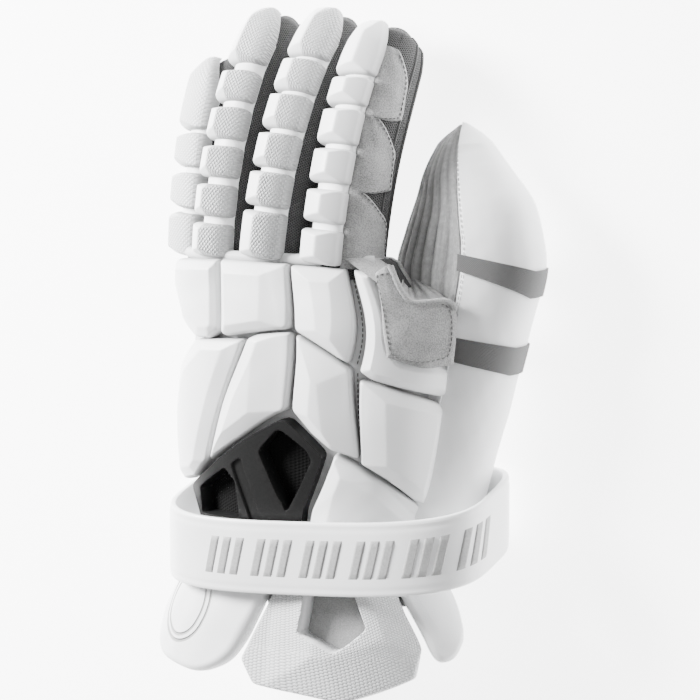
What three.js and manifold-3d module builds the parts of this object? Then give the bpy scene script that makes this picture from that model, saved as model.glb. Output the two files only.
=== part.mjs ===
// A lacrosse glove for the left hand, lying palm down on a surface.
// X points to the thumb, Y to the finger tips and Z up. The wrist edge of the palm is at the zero of "at".
import * as THREE from "three";
import { mergeVertices } from "three/addons/utils/BufferGeometryUtils.js";
import Module from "manifold-3d";

const wasm = await Module();
wasm.setup();

// Driving dimensions in millimetres
const palmLength = 136; // wrist edge to the knuckles
const palmWidth = 134;
const palmHeight = 74.5; // from the surface below to the back of the hand
const fingerLength = 128.9; // the middle finger's tube
const fingerWidth = 27; // tubes of the fingers
const fingerHeight = 29;
const thumbLength = 202; // wrist edge to the thumb's tip
const thumbWidth = 78;
const thumbHeight = 51.5;
const cuffLength = 86; // wrist edge to the end of the tongue
const leatherWall = 2.5; // palm, liner and thumb sleeve
const sheetWall = 1.5; // backing leather, suede patches and mesh
const padThickness = 9.5; // foam pads on the back of the hand
const fingerPadThickness = 9;
const fingerPadWidth = 23;
const flapThickness = 7;
const tongueThickness = 11;
const guardThickness = 4; // padded shell on the thumb
const bandThickness = 0.9; // elastic bands round the thumb
const ribThickness = 7; // plastic frame of the vent
const strapWidth = 37;
const strapThickness = 3.6;
const strapEase = 6.7; // air between the strap and what it goes round, at each side
const strapRise = 78.5; // outside height of the strap's loop
const seamGap = 1.2; // between the outlines of two neighbouring pads
const seamMargin = 4; // leather that the vent's edge covers
const clearance = 0.35; // between two pieces that touch
const strapSpan = 1.07 * palmWidth + 2 * (flapThickness + strapThickness + strapEase); // its loop's width

// How round the sections are, and how finely they are divided
const backRoundness = 2.3;
const palmRoundness = 3;
const tubeRoundness = 2.4;
const strapRoundness = 3; // over the back; the stretch below is squarer
const strapFloorRoundness = 4.5;
const strapFlat = 0.985; // the strap lies flat where its loop would reach lower than this share
const handSides = 20;
const thumbSides = 16;
const tubeSides = 8;
const strapSides = 28;
const longestEdge = 24;
const cutReach = 3; // how far cutters stand out past what they cut

const degree = Math.PI / 180;

// Turns rows of numbers into rows with named columns.
function table(columns, rows) {
  return rows.map((row) => Object.fromEntries(columns.map((name, k) => [name, row[k]])));
}

// Sections of the hand. "at" is a share of palmLength, left and right of palmWidth, the rest of palmHeight.
const handSections = table(
  ["at", "left", "right", "top", "middle", "bottom"],
  [
    [-0.66, -0.72, 0.66, 0.915, 0.417, 0.07],
    [-0.4, -0.66, 0.58, 0.873, 0.406, 0.07],
    [-0.2, -0.565, 0.47, 0.841, 0.396, 0.07],
    [0, -0.535, 0.4, 0.825, 0.396, 0.07],
    [0.21, -0.55, 0.45, 0.878, 0.422, 0.063],
    [0.46, -0.54, 0.48, 0.952, 0.475, 0.006],
    [0.72, -0.52, 0.49, 0.974, 0.528, 0.195],
    [1, -0.51, 0.34, 0.92, 0.666, 0.5],
  ],
);

// Fingers. x is a share of palmWidth, z of palmHeight, start of palmLength and length of fingerLength.
// Yaw, roll and the pitch at root and tip are degrees.
const fingers = table(
  ["name", "x", "z", "start", "yaw", "roll", "rootPitch", "tipPitch", "length"],
  [
    ["index", 0.131, 0.758, 0.974, 4, 7.4, 1.3, 38.8, 0.957],
    ["middle", -0.114, 0.772, 0.994, 5.5, 7.4, 0, 46.7, 1],
    ["ring", -0.335, 0.705, 0.985, 3, 13.4, -1.3, 44.8, 0.999],
    ["pinky", -0.482, 0.49, 0.973, 2.6, 43.7, -2.1, 22.8, 0.784],
  ],
);

// The tubes: wide and out, how far the tube sits to the thumb's side, are shares of fingerWidth; tall and
// drop, how far it hangs below the centre line, of fingerHeight; pad is a share of fingerPadWidth.
const tubes = {
  index: { wide: 1.22, tall: 1.24, out: 0.09, drop: 0.12, pad: 1 },
  middle: { wide: 1.1, tall: 1.12, out: 0, drop: 0.06, pad: 0.98 },
  ring: { wide: 1, tall: 1.08, out: 0, drop: 0.05, pad: 0.92 },
  pinky: { wide: 0.94, tall: 0.98, out: 0, drop: 0, pad: 0.98 },
};

// Where each finger's pads start and end, as shares of that finger's length. The last one ends at the tip.
const spans = (...rows) => table(["from", "to"], rows);
const fingerPads = {
  index: spans([0.01, 0.13], [0.16, 0.275], [0.305, 0.425], [0.45, 0.575], [0.6, 0.7], [0.72, 0.96]),
  middle: spans([0.005, 0.16], [0.182, 0.296], [0.318, 0.433], [0.457, 0.575], [0.597, 0.712], [0.735, 0.96]),
  ring: spans([0.01, 0.12], [0.15, 0.257], [0.287, 0.392], [0.423, 0.532], [0.564, 0.672], [0.713, 0.96]),
  pinky: spans([0.01, 0.202], [0.232, 0.392], [0.426, 0.58], [0.604, 0.955]),
};

// How a finger's tube closes at its tip: share of its length, and share of its width and height there.
const tipSections = table(
  ["along", "size"],
  [
    [-0.04, 1],
    [0.22, 1],
    [0.46, 1],
    [0.68, 0.99],
    [0.86, 0.92],
    [0.95, 0.76],
    [1, 0.4],
  ],
);

// Thumb sections. "at" is a share of thumbLength, x of palmWidth, half of thumbWidth, the rest of
// thumbHeight.
const thumbSections = table(
  ["at", "x", "half", "middle", "rise"],
  [
    [-0.03, 0.373, 0.36, 0.545, 0.443],
    [0.153, 0.418, 0.385, 0.531, 0.436],
    [0.312, 0.47, 0.41, 0.505, 0.495],
    [0.5, 0.53, 0.436, 0.5, 0.5],
    [0.653, 0.552, 0.5, 0.489, 0.489],
    [0.74, 0.561, 0.455, 0.478, 0.478],
    [0.812, 0.564, 0.377, 0.442, 0.442],
    [0.881, 0.522, 0.295, 0.388, 0.378],
    [0.95, 0.495, 0.185, 0.322, 0.26],
    [1, 0.486, 0.06, 0.301, 0.076],
  ],
);

// The seam between the thumb's white guard and its knitted inner side: x is a share of palmWidth.
const guardSeam = table(
  ["at", "x"],
  [
    [-0.1, 0.29],
    [0.064, 0.38],
    [0.243, 0.47],
    [0.436, 0.56],
    [0.535, 0.603],
    [0.7, 0.635],
    [0.852, 0.585],
    [0.955, 0.535],
    [1.1, 0.49],
  ],
);

// Outlines on the back of the hand. "round" runs from the little finger's side, 0, over the back to the
// thumb's side, 1, and "at" is a share of palmLength. The middle is a point that sees every corner.
const outline = (...rows) => table(["round", "at"], rows);
const backPads = {
  knuckle_pad_pinky: {
    corners: outline(
      [0.1, 0.972], [0.353, 0.982], [0.346, 0.729], [0.305, 0.693],
      [0.248, 0.69], [0.16, 0.749], [0.085, 0.873],
    ),
  },
  knuckle_pad_middle: {
    corners: outline([0.365, 0.984], [0.54, 0.976], [0.515, 0.756], [0.368, 0.707], [0.35, 0.729]),
  },
  knuckle_pad_index: {
    corners: outline(
      [0.55, 0.972], [0.715, 0.965], [0.645, 0.637], [0.622, 0.652], [0.529, 0.738], [0.526, 0.755],
    ),
  },
  web_pad: {
    corners: outline(
      [0.742, 0.935], [0.8, 0.935], [0.788, 0.86], [0.76, 0.71], [0.785, 0.655],
      [0.905, 0.597], [0.915, 0.515], [0.779, 0.556], [0.705, 0.582], [0.673, 0.61],
    ),
    middle: { round: 0.735, at: 0.63 },
  },
  back_pad_pinky: {
    corners: outline(
      [0.245, 0.684], [0.416, 0.7], [0.361, 0.479], [0.295, 0.235], [0.235, 0.165],
      [0.1, 0.13], [0.085, 0.25], [0.09, 0.42], [0.135, 0.56],
    ),
  },
  back_pad_middle: {
    corners: outline(
      [0.427, 0.705], [0.45, 0.722], [0.517, 0.72], [0.51, 0.459],
      [0.412, 0.343], [0.306, 0.238], [0.364, 0.479],
    ),
  },
  back_pad_index: {
    corners: outline(
      [0.527, 0.728], [0.65, 0.617], [0.679, 0.294], [0.609, 0.322], [0.565, 0.379], [0.522, 0.459],
    ),
  },
  back_pad_thumb: {
    corners: outline(
      [0.678, 0.585], [0.901, 0.502], [0.92, 0.46], [0.875, 0.145], [0.844, 0.15], [0.692, 0.285],
    ),
  },
  wrist_pad: {
    corners: outline(
      [0.615, 0.3], [0.68, 0.27], [0.714, 0.224], [0.874, 0.128], [0.876, -0.03], [0.56, -0.03], [0.57, 0.09],
    ),
  },
};

// The vent on the back of the hand: its frame's edge, its two openings, and the backing leather's cutout.
const ventEdge = outline(
  [0.51, 0.44], [0.6, 0.3], [0.558, 0.09], [0.55, -0.03],
  [0.25, -0.03], [0.2, 0.13], [0.305, 0.22], [0.4, 0.325],
);
const ventOpenings = [
  outline([0.5, 0.385], [0.552, 0.318], [0.556, 0.28], [0.51, 0.09], [0.465, 0.29]),
  outline([0.345, 0.222], [0.255, 0.13], [0.43, 0.04], [0.425, 0.26]),
];

// Flaps and tongue of the cuff. "at" is a share of cuffLength, counted from the wrist edge.
const cuffShapes = {
  cuff_flap_pinky: {
    corners: outline(
      [0.475, -0.1], [0.465, -0.4], [0.42, -0.66], [0.38, -0.83], [0.3, -0.92],
      [0.17, -0.9], [0.085, -0.78], [0.07, -0.5], [0.08, -0.1],
    ),
    thickness: flapThickness,
  },
  cuff_flap_thumb: {
    corners: outline(
      [0.79, -0.1], [0.79, -0.36], [0.815, -0.6], [0.845, -0.73],
      [0.9, -0.74], [0.955, -0.6], [0.965, -0.35], [0.955, -0.1],
    ),
    thickness: flapThickness,
  },
  cuff_tongue: {
    corners: outline(
      [0.5, -0.1], [0.49, -0.36], [0.458, -0.66], [0.408, -0.81], [0.44, -0.94],
      [0.6, -1], [0.7, -0.93], [0.79, -0.8], [0.8, -0.68], [0.77, -0.46], [0.758, -0.1],
    ),
    thickness: tongueThickness,
  },
};
const tongueOpening = outline([0.57, -0.34], [0.657, -0.34], [0.684, -0.55], [0.61, -0.69], [0.535, -0.59]);

// The suede patch that joins the index finger to the thumb: shares of palmWidth, palmLength and palmHeight.
const saddleColumns = ["x", "at", "z"];
const saddleRows = [
  table(saddleColumns, [[0.34, 0.961, 0.956], [0.362, 0.979, 0.933], [0.381, 0.992, 0.899]]),
  table(saddleColumns, [[0.373, 0.861, 0.99], [0.419, 0.868, 0.951], [0.462, 0.864, 0.899]]),
  table(saddleColumns, [[0.386, 0.755, 1.006], [0.498, 0.771, 0.906], [0.61, 0.836, 0.69]]),
  table(saddleColumns, [[0.416, 0.66, 1.006], [0.53, 0.618, 0.899], [0.632, 0.655, 0.7]]),
];

// Materials
const paint = (color, roughness) => new THREE.MeshStandardMaterial({ color, roughness, metalness: 0 });
const whiteLeather = paint(0xf2f2f2, 0.45);
const greySuede = paint(0xa9aaac, 0.9);
const darkMesh = paint(0x4b4d50, 0.85);
const satinPlastic = paint(0x6f7275, 0.4);
const strapRubber = paint(0xf5f5f5, 0.4);
const greyElastic = paint(0x9b9c9e, 0.8);
const knit = paint(0x9fa0a2, 0.95);

// Value of a column at a place, on a smooth curve through the rows.
function smooth(rows, place, column, at) {
  const last = rows.length - 1;
  const wanted = THREE.MathUtils.clamp(at, rows[0][place], rows[last][place]);
  let k = 0;
  while (k < last - 1 && wanted > rows[k + 1][place]) k += 1;
  const [a, b, c, d] = [k - 1, k, k + 1, k + 2].map((i) => rows[THREE.MathUtils.clamp(i, 0, last)][column]);
  const t = (wanted - rows[k][place]) / (rows[k + 1][place] - rows[k][place]);
  const bend = (2 * a - 5 * b + 4 * c - d) * t * t + (3 * b - a - 3 * c + d) * t * t * t;
  return b + ((c - a) * t + bend) / 2;
}

// A superellipse's share of its half-axis, for the sine or cosine of the angle.
const bow = (value, roundness) => Math.sign(value) * Math.abs(value) ** (2 / roundness);

// Outline of the hand's section, at a share of palmLength, grown outwards by a distance.
function handAxes(at, grow) {
  const share = (column) => smooth(handSections, "at", column, at);
  const left = share("left") * palmWidth - grow;
  const right = share("right") * palmWidth + grow;
  return {
    x: (left + right) / 2,
    half: (right - left) / 2,
    y: at * palmLength,
    middle: share("middle") * palmHeight,
    rise: (share("top") - share("middle")) * palmHeight + grow,
    fall: (share("middle") - share("bottom")) * palmHeight + grow,
  };
}

// A point on the back of the hand: round 0 is the little finger's side and 1 the thumb's side.
function backPoint(round, at, out) {
  const on = (r, a) => {
    const s = handAxes(a, 0);
    const turn = Math.PI * (1 - r);
    const x = s.x + s.half * bow(Math.cos(turn), backRoundness);
    return new THREE.Vector3(x, s.y, s.middle + s.rise * bow(Math.sin(turn), backRoundness));
  };
  const step = 0.002;
  const across = on(round + step, at).sub(on(round - step, at));
  const along = on(round, at + step).sub(on(round, at - step));
  const normal = across.cross(along).normalize();
  return on(round, at).addScaledVector(normal, out);
}

// A closed body from rings of points, each ring with the same number of points, and closed at both ends.
function loft(rings) {
  const count = rings[0].length;
  const middleOf = (ring) => ring.reduce((sum, p) => sum.add(p), new THREE.Vector3()).divideScalar(count);
  const points = [...rings.flat(), middleOf(rings[0]), middleOf(rings.at(-1))];
  const first = rings.length * count;
  const faces = [];
  for (let r = 0; r < rings.length - 1; r += 1) {
    for (let k = 0; k < count; k += 1) {
      const a = r * count + k;
      const b = r * count + ((k + 1) % count);
      faces.push(a, b, b + count, a, b + count, a + count);
    }
  }
  for (let k = 0; k < count; k += 1) {
    const next = (k + 1) % count;
    faces.push(first, next, k);
    faces.push(first + 1, first - count + k, first - count + next);
  }
  return body(points, faces);
}

// A closed loop of rings, like a bracelet.
function loop(rings) {
  const count = rings[0].length;
  const faces = [];
  rings.forEach((ring, r) => {
    ring.forEach((point, k) => {
      const a = r * count + k;
      const b = r * count + ((k + 1) % count);
      const on = ((r + 1) % rings.length) * count;
      faces.push(a, b, on + ((k + 1) % count), a, on + ((k + 1) % count), on + k);
    });
  });
  return body(rings.flat(), faces);
}

// A slab between a lower and an upper surface, each a function of two shares.
function slab(acrossShares, alongShares, lower, upper) {
  const wide = acrossShares.length;
  const long = alongShares.length;
  const points = [];
  for (const surface of [lower, upper]) {
    alongShares.forEach((v) => acrossShares.forEach((u) => points.push(surface(u, v))));
  }
  const top = wide * long;
  const faces = [];
  for (let j = 0; j < long - 1; j += 1) {
    for (let i = 0; i < wide - 1; i += 1) {
      const a = j * wide + i;
      faces.push(a, a + wide, a + wide + 1, a, a + wide + 1, a + 1);
      faces.push(top + a, top + a + wide + 1, top + a + wide, top + a, top + a + 1, top + a + wide + 1);
    }
  }
  const rim = [];
  for (let i = 0; i < wide; i += 1) rim.push(i);
  for (let j = 1; j < long; j += 1) rim.push(j * wide + wide - 1);
  for (let i = wide - 2; i >= 0; i -= 1) rim.push((long - 1) * wide + i);
  for (let j = long - 2; j > 0; j -= 1) rim.push(j * wide);
  rim.forEach((a, k) => {
    const b = rim[(k + 1) % rim.length];
    faces.push(a, b, top + b, a, top + b, top + a);
  });
  return body(points, faces);
}

// A geometry from points and faces, turned so that its faces point outwards.
function body(points, faces) {
  let volume = 0;
  for (let k = 0; k < faces.length; k += 3) {
    const [a, b, c] = [points[faces[k]], points[faces[k + 1]], points[faces[k + 2]]];
    volume += a.dot(new THREE.Vector3().crossVectors(b, c));
  }
  const index = volume < 0 ? faces.toReversed() : faces;
  const geometry = new THREE.BufferGeometry().setFromPoints(points);
  geometry.setIndex(index);
  return geometry;
}

// A solid for joining and cutting, and the way back to a geometry.
function solid(geometry) {
  geometry.deleteAttribute("normal");
  geometry.deleteAttribute("uv");
  const merged = mergeVertices(geometry, 1e-4);
  const vertProperties = merged.attributes.position.array;
  const triVerts = new Uint32Array(merged.index.array);
  return new wasm.Manifold(new wasm.Mesh({ numProp: 3, vertProperties, triVerts }));
}

function geometryOf(made) {
  const mesh = made.getMesh();
  const geometry = new THREE.BufferGeometry();
  geometry.setAttribute("position", new THREE.BufferAttribute(new Float32Array(mesh.vertProperties), 3));
  geometry.setIndex(new THREE.BufferAttribute(new Uint32Array(mesh.triVerts), 1));
  return geometry;
}

const join = (solids) => solids.reduce((all, one) => all.add(one));
const largest = (made) => made.decompose().sort((a, b) => b.volume() - a.volume())[0];
const shares = (count) => Array.from({ length: count + 1 }, (_, k) => k / count);

const glove = new THREE.Group();

function add(name, geometry, material) {
  const mesh = new THREE.Mesh(geometry, material.clone());
  mesh.name = name;
  glove.add(mesh);
}

// The hand: a hollow body, split where the palm's suede meets the dark liner of the back
const handStations = [-0.03, 0.2, 0.4, 0.58, 0.72, 0.87, 1.01];
const cuffStations = [-0.6, -0.46, -0.33, -0.2, -0.05];
const rootInside = 0.1; // how far a finger's hollow reaches back into the hand, as a share of its length

// One ring of the hand's section. The half is "whole", "back" or "palm", and stays a distance, the part,
// away from the section's middle.
function handRing(at, grow, half, part) {
  const s = handAxes(at, grow);
  const point = (turn) => {
    const up = Math.sin(turn) > 0;
    const roundness = up ? backRoundness : palmRoundness;
    const reach = up ? s.rise : s.fall;
    const x = s.x + s.half * bow(Math.cos(turn), roundness);
    return new THREE.Vector3(x, s.y, s.middle + reach * bow(Math.sin(turn), roundness));
  };
  if (half === "whole") return shares(handSides).slice(1).map((k) => point(k * 2 * Math.PI));
  const side = half === "back" ? 1 : -1;
  const ring = shares(handSides / 2).map((k) => point(side * k * Math.PI));
  ring.forEach((p) => {
    p.z = side * Math.max(side * (p.z - s.middle), part) + s.middle;
  });
  return ring;
}

// The hand from its first to its last station, its ends moved outwards by a distance.
function handSolid(grow, half = "whole", part = 0, ends = 0, stations = handStations) {
  const rings = stations.map((at, k) => {
    const end = k === 0 ? -ends : k === stations.length - 1 ? ends : 0;
    return handRing(at + end / palmLength, grow, half, part);
  });
  return solid(loft(rings));
}

// The space under a layer on the back of the hand and cuff, and a layer between two heights.
const backSpace = (grow, ends = 1) => handSolid(grow, "back", 0, ends, [...cuffStations, ...handStations]);

// A finger's centre line is an arc whose pitch grows evenly. Gives the centre, the side and the upward
// direction at a share of the finger's length.
function fingerFrame(finger, share) {
  const root = finger.rootPitch * degree;
  const tip = finger.tipPitch * degree;
  const pitch = root + (tip - root) * share;
  const radius = (finger.length * fingerLength) / (tip - root);
  const forward = radius * (Math.sin(pitch) - Math.sin(root));
  const yaw = finger.yaw * degree;
  const centre = new THREE.Vector3(
    finger.x * palmWidth + Math.sin(yaw) * forward,
    finger.start * palmLength + Math.cos(yaw) * forward,
    finger.z * palmHeight + radius * (Math.cos(pitch) - Math.cos(root)),
  );
  const direction = new THREE.Vector3(
    Math.sin(yaw) * Math.cos(pitch),
    Math.cos(yaw) * Math.cos(pitch),
    -Math.sin(pitch),
  );
  const level = new THREE.Vector3(Math.cos(yaw), -Math.sin(yaw), 0);
  const side = level.applyAxisAngle(direction, -finger.roll * degree).normalize();
  const up = side.clone().cross(direction).normalize();
  return { centre, side, up };
}

// A point near a finger: share along it, distance to its side and distance above its centre line.
function fingerPoint(finger, share, across, above) {
  const { centre, side, up } = fingerFrame(finger, share);
  return centre.addScaledVector(side, across).addScaledVector(up, above);
}

// A finger's tube at a share of its length: half width, half height, and where its middle lies.
function tubeAxes(finger, share, grow) {
  const tube = tubes[finger.name];
  const size = smooth(tipSections, "along", "size", share);
  return {
    half: (size * tube.wide * fingerWidth) / 2 + grow,
    rise: (size * tube.tall * fingerHeight) / 2 + grow,
    out: tube.out * fingerWidth,
    drop: tube.drop * fingerHeight,
  };
}

// A point on a finger's tube, at a turn that starts at the thumb's side and goes over the back.
function tubePoint(finger, share, turn, grow) {
  const axes = tubeAxes(finger, share, grow);
  const across = axes.out + axes.half * bow(Math.cos(turn), tubeRoundness);
  return fingerPoint(finger, share, across, axes.rise * bow(Math.sin(turn), tubeRoundness) - axes.drop);
}

// A finger's tube, or one half of it, grown outwards by a distance.
function fingerSolid(finger, grow, half = "whole", part = 0) {
  const longer = 1 + grow / (finger.length * fingerLength);
  const rings = tipSections.map(({ along }) => {
    const axes = tubeAxes(finger, along, grow);
    const share = along > 0 ? along * longer : along - (grow < 0 ? rootInside : 0);
    const point = (turn) => {
      const ridge = axes.rise * bow(Math.sin(turn), tubeRoundness);
      const above = { whole: ridge, back: Math.max(ridge, part), palm: Math.min(ridge, -part) }[half];
      const across = axes.out + axes.half * bow(Math.cos(turn), tubeRoundness);
      return fingerPoint(finger, share, across, above - axes.drop);
    };
    if (half === "whole") return shares(tubeSides).slice(1).map((k) => point(k * 2 * Math.PI));
    const side = half === "back" ? 1 : -1;
    return shares(tubeSides / 2).map((k) => point(side * k * Math.PI));
  });
  return solid(loft(rings));
}

// The thumb: an oval sleeve. Thinning draws in its top and its outer side.
const thumbRoundness = 2.2;
function thumbRing(row, grow, thin) {
  const half = row.half * thumbWidth + grow - thin / 2;
  const rise = row.rise * thumbHeight + grow - thin / 2;
  const x = row.x * palmWidth - thin / 2;
  const z = row.middle * thumbHeight - thin / 2;
  return shares(thumbSides)
    .slice(1)
    .map((k) => {
      const turn = k * 2 * Math.PI;
      const across = Math.max(half, clearance) * bow(Math.cos(turn), thumbRoundness);
      const above = Math.max(rise, clearance) * bow(Math.sin(turn), thumbRoundness);
      return new THREE.Vector3(x + across, row.at * thumbLength, z + above);
    });
}

function thumbSolid(grow, thin = 0, ends = grow) {
  const last = thumbSections.at(-1);
  const rings = thumbSections.map((row) => {
    const reach = row === last ? ends : row === thumbSections[0] ? -ends : 0;
    const draw = row.at > 0.5 ? (thin * (row.at - 0.5)) / 0.5 : 0;
    return thumbRing({ ...row, at: row.at + (reach - draw) / thumbLength }, grow, thin);
  });
  return solid(loft(rings));
}

// A tall wall of space on the thumb's outer side of the guard's seam, from a level upwards.
function guardSpace(low, from, to) {
  const far = palmWidth;
  const stations = shares(14).map((k) => from + (to - from) * k);
  const rings = stations.map((at) => {
    const x = smooth(guardSeam, "at", "x", at) * palmWidth;
    const y = at * thumbLength;
    return [
      new THREE.Vector3(x, y, low),
      new THREE.Vector3(far, y, low),
      new THREE.Vector3(far, y, far),
      new THREE.Vector3(x, y, far),
    ];
  });
  return solid(loft(rings));
}

// Moves each edge of an outline inwards by a distance and divides long edges, in the plane of round and at.
function insetOutline(corners, inset, lengthUnit, longest) {
  const roundUnit = palmWidth * 1.25;
  const flat = corners.map((c) => new THREE.Vector2(c.round * roundUnit, c.at * lengthUnit));
  const area = flat.reduce((sum, p, k) => sum + p.cross(flat[(k + 1) % flat.length]), 0);
  const turn = Math.sign(area);
  const moved = flat.map((p, k) => {
    const before = p.clone().sub(flat.at(k - 1)).normalize();
    const after = flat[(k + 1) % flat.length].clone().sub(p).normalize();
    const inward = (d) => new THREE.Vector2(-d.y * turn, d.x * turn);
    const sum = inward(before).add(inward(after));
    return p.clone().addScaledVector(sum, inset / (1 + before.dot(after)));
  });
  const points = [];
  moved.forEach((p, k) => {
    const next = moved[(k + 1) % moved.length];
    const pieces = Math.max(1, Math.ceil(p.distanceTo(next) / longest));
    for (let i = 0; i < pieces; i += 1) points.push(p.clone().lerp(next, i / pieces));
  });
  return points.map((p) => ({ round: p.x / roundUnit, at: p.y / lengthUnit }));
}

// A body on the back of the hand between copies of an outline. Each layer is drawn inwards by a share of the
// way to the outline's middle, and lies at a distance above the hand.
function layered(shape, lengthUnit, inset, layers) {
  const edge = insetOutline(shape.corners, inset, lengthUnit, longestEdge);
  const mean = (key) => edge.reduce((sum, c) => sum + c[key], 0) / edge.length;
  const middle = shape.middle ?? { round: mean("round"), at: mean("at") };
  const place = (c, inward, out) => {
    const round = c.round + (middle.round - c.round) * inward;
    const at = c.at + (middle.at - c.at) * inward;
    return backPoint(round, (at * lengthUnit) / palmLength, out);
  };
  return loft(layers.map(({ inward, out }) => edge.map((c) => place(c, inward, out))));
}

// A padded piece: a side wall, a bevel and a crowned top.
function cushion(shape, lengthUnit, low, high) {
  const height = (share) => low + (high - low) * share;
  return layered(shape, lengthUnit, seamGap / 2, [
    { inward: 0, out: low },
    { inward: 0, out: height(0.6) },
    { inward: 0.16, out: height(0.94) },
    { inward: 0.6, out: high },
  ]);
}

// A flat sheet or a cutter.
function patch(corners, lengthUnit, low, high, inset) {
  return layered({ corners }, lengthUnit, inset, [
    { inward: 0.5, out: low },
    { inward: 0, out: low },
    { inward: 0, out: high },
    { inward: 0.5, out: high },
  ]);
}

// Shells of palm, liner and thumb: full outer halves less one hollow that runs through all of them
const split = clearance / 2;
const openWrist = loft([-0.2, 0].map((at) => handRing(at, -leatherWall, "whole", 0)));
const thumbMouth = (at) => thumbRing({ ...thumbSections[0], at }, -leatherWall, guardThickness);
const hollow = join([
  handSolid(-leatherWall, "whole", 0, -leatherWall),
  solid(openWrist),
  ...fingers.map((finger) => fingerSolid(finger, -leatherWall)),
  thumbSolid(-leatherWall, guardThickness),
  solid(loft([-0.2, 0.05].map(thumbMouth))),
]);

const tubesOf = (grow) => fingers.map((finger) => fingerSolid(finger, grow));
const halfOfHand = (half) => handSolid(0, half, split).subtract(hollow);
const palmGrown = handSolid(clearance, "palm", 0, clearance);
const backGrown = handSolid(clearance, "back", 0, clearance);
const padded = handSolid(sheetWall + padThickness + 3 * clearance, "back", 0, clearance);

const thumbOuter = thumbSolid(0, guardThickness);
add("palm", geometryOf(largest(halfOfHand("palm"))), greySuede);
add("liner", geometryOf(largest(halfOfHand("back"))), darkMesh);

// Each finger's tube has a suede half below and a mesh half above, cut back from the hand and its neighbour
fingers.forEach((finger, k) => {
  const neighbour = k > 0 ? [fingerSolid(fingers[k - 1], clearance)] : [];
  const away = join([palmGrown, backGrown, hollow, ...neighbour]);
  const half = (side) => largest(fingerSolid(finger, 0, side, split).subtract(away));
  add(finger.name + "_front", geometryOf(half("palm")), greySuede);
  add(finger.name + "_gusset", geometryOf(half("back")), darkMesh);
});

const handGrown = join([palmGrown, backGrown, padded, ...tubesOf(clearance)]);
add("thumb_sleeve", geometryOf(largest(thumbOuter.subtract(hollow).subtract(handGrown))), knit);

// Thumb guard: a padded shell on the outer side, and two elastic bands round it
const guardBottom = 0.12 * thumbHeight;
const guardShell = thumbSolid(0).subtract(thumbSolid(clearance, guardThickness, 0));
const guard = largest(guardShell.intersect(guardSpace(guardBottom, -0.1, 1.1)).subtract(handGrown));
add("thumb_guard", geometryOf(guard), whiteLeather);
const bandPlaces = table(
  ["name", "from", "to"],
  [
    ["thumb_band_1", 0.6, 0.665],
    ["thumb_band_2", 0.4, 0.455],
  ],
);
bandPlaces.forEach(({ name, from, to }) => {
  const shell = thumbSolid(clearance + bandThickness).subtract(thumbSolid(clearance));
  const band = shell.intersect(guardSpace(guardBottom + clearance, from, to)).subtract(handGrown);
  add(name, geometryOf(largest(band)), greyElastic);
});

// Backing leather over the back of the hand, open under the vent
const backingLow = clearance;
const backingHigh = backingLow + sheetWall;
const padLow = backingHigh + clearance;
const padHigh = padLow + padThickness;
const backingEdge = outline(
  [0.06, 0.985], [0.735, 0.985], [0.83, 0.95], [0.9, 0.6],
  [0.9, 0.1], [0.88, -0.02], [0.1, -0.02], [0.06, 0.3],
);
const wholeHand = handSolid(backingLow, "whole", 0, backingLow);
const underBacking = join([backSpace(backingLow), wholeHand, ...tubesOf(backingLow)]);
const underPads = join([backSpace(padLow), wholeHand, ...tubesOf(padLow)]);
const backingLayer = backSpace(backingHigh, 0).subtract(underBacking);
const ventCut = solid(patch(ventEdge, palmLength, -cutReach, padHigh, seamMargin));
const backing = backingLayer.intersect(solid(patch(backingEdge, palmLength, -cutReach, padHigh, 0)));
add("back_panel", geometryOf(largest(backing.subtract(ventCut))), whiteLeather);

Object.entries(backPads).forEach(([name, shape]) => {
  const pad = solid(cushion(shape, palmLength, padLow - cutReach, padHigh)).subtract(underPads);
  add(name, geometryOf(largest(pad)), whiteLeather);
});

// Vent: a plastic frame with two openings over a mesh
const ventSolid = solid(patch(ventEdge, palmLength, padLow - cutReach, padLow + ribThickness, seamGap));
const ventHole = (corners) => solid(patch(corners, palmLength, -cutReach, padHigh + cutReach, 0));
const ventHoles = join(ventOpenings.map(ventHole));
add("vent_frame", geometryOf(largest(ventSolid.subtract(ventHoles).subtract(underPads))), satinPlastic);
const ventMeshEdge = solid(patch(ventEdge, palmLength, -cutReach, padHigh, seamMargin + clearance));
add("vent_mesh", geometryOf(largest(backingLayer.intersect(ventMeshEdge))), darkMesh);

// Cuff: two flaps, a raised tongue with an opening, and the liner inside
Object.entries(cuffShapes).forEach(([name, shape]) => {
  const high = backingLow + shape.thickness;
  let made = solid(cushion(shape, cuffLength, backingLow - cutReach, high)).subtract(underBacking);
  if (name === "cuff_tongue") {
    made = made.subtract(solid(patch(tongueOpening, cuffLength, -cutReach, high + cutReach, 0)));
  }
  add(name, geometryOf(largest(made)), whiteLeather);
});
const linerStations = cuffStations.slice(1);
const cuffOuter = handSolid(0, "back", 0, 0, linerStations);
const cuffInner = handSolid(-sheetWall, "back", 0, cutReach, linerStations);
const linerLow = 0.55 * palmHeight; // the liner's two long edges
const aboveLow = new THREE.BoxGeometry(3 * palmWidth, 3 * palmLength, palmHeight);
aboveLow.translate(0, 0, linerLow + palmHeight / 2);
add("cuff_liner", geometryOf(largest(cuffOuter.subtract(cuffInner).intersect(solid(aboveLow)))), greySuede);

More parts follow.
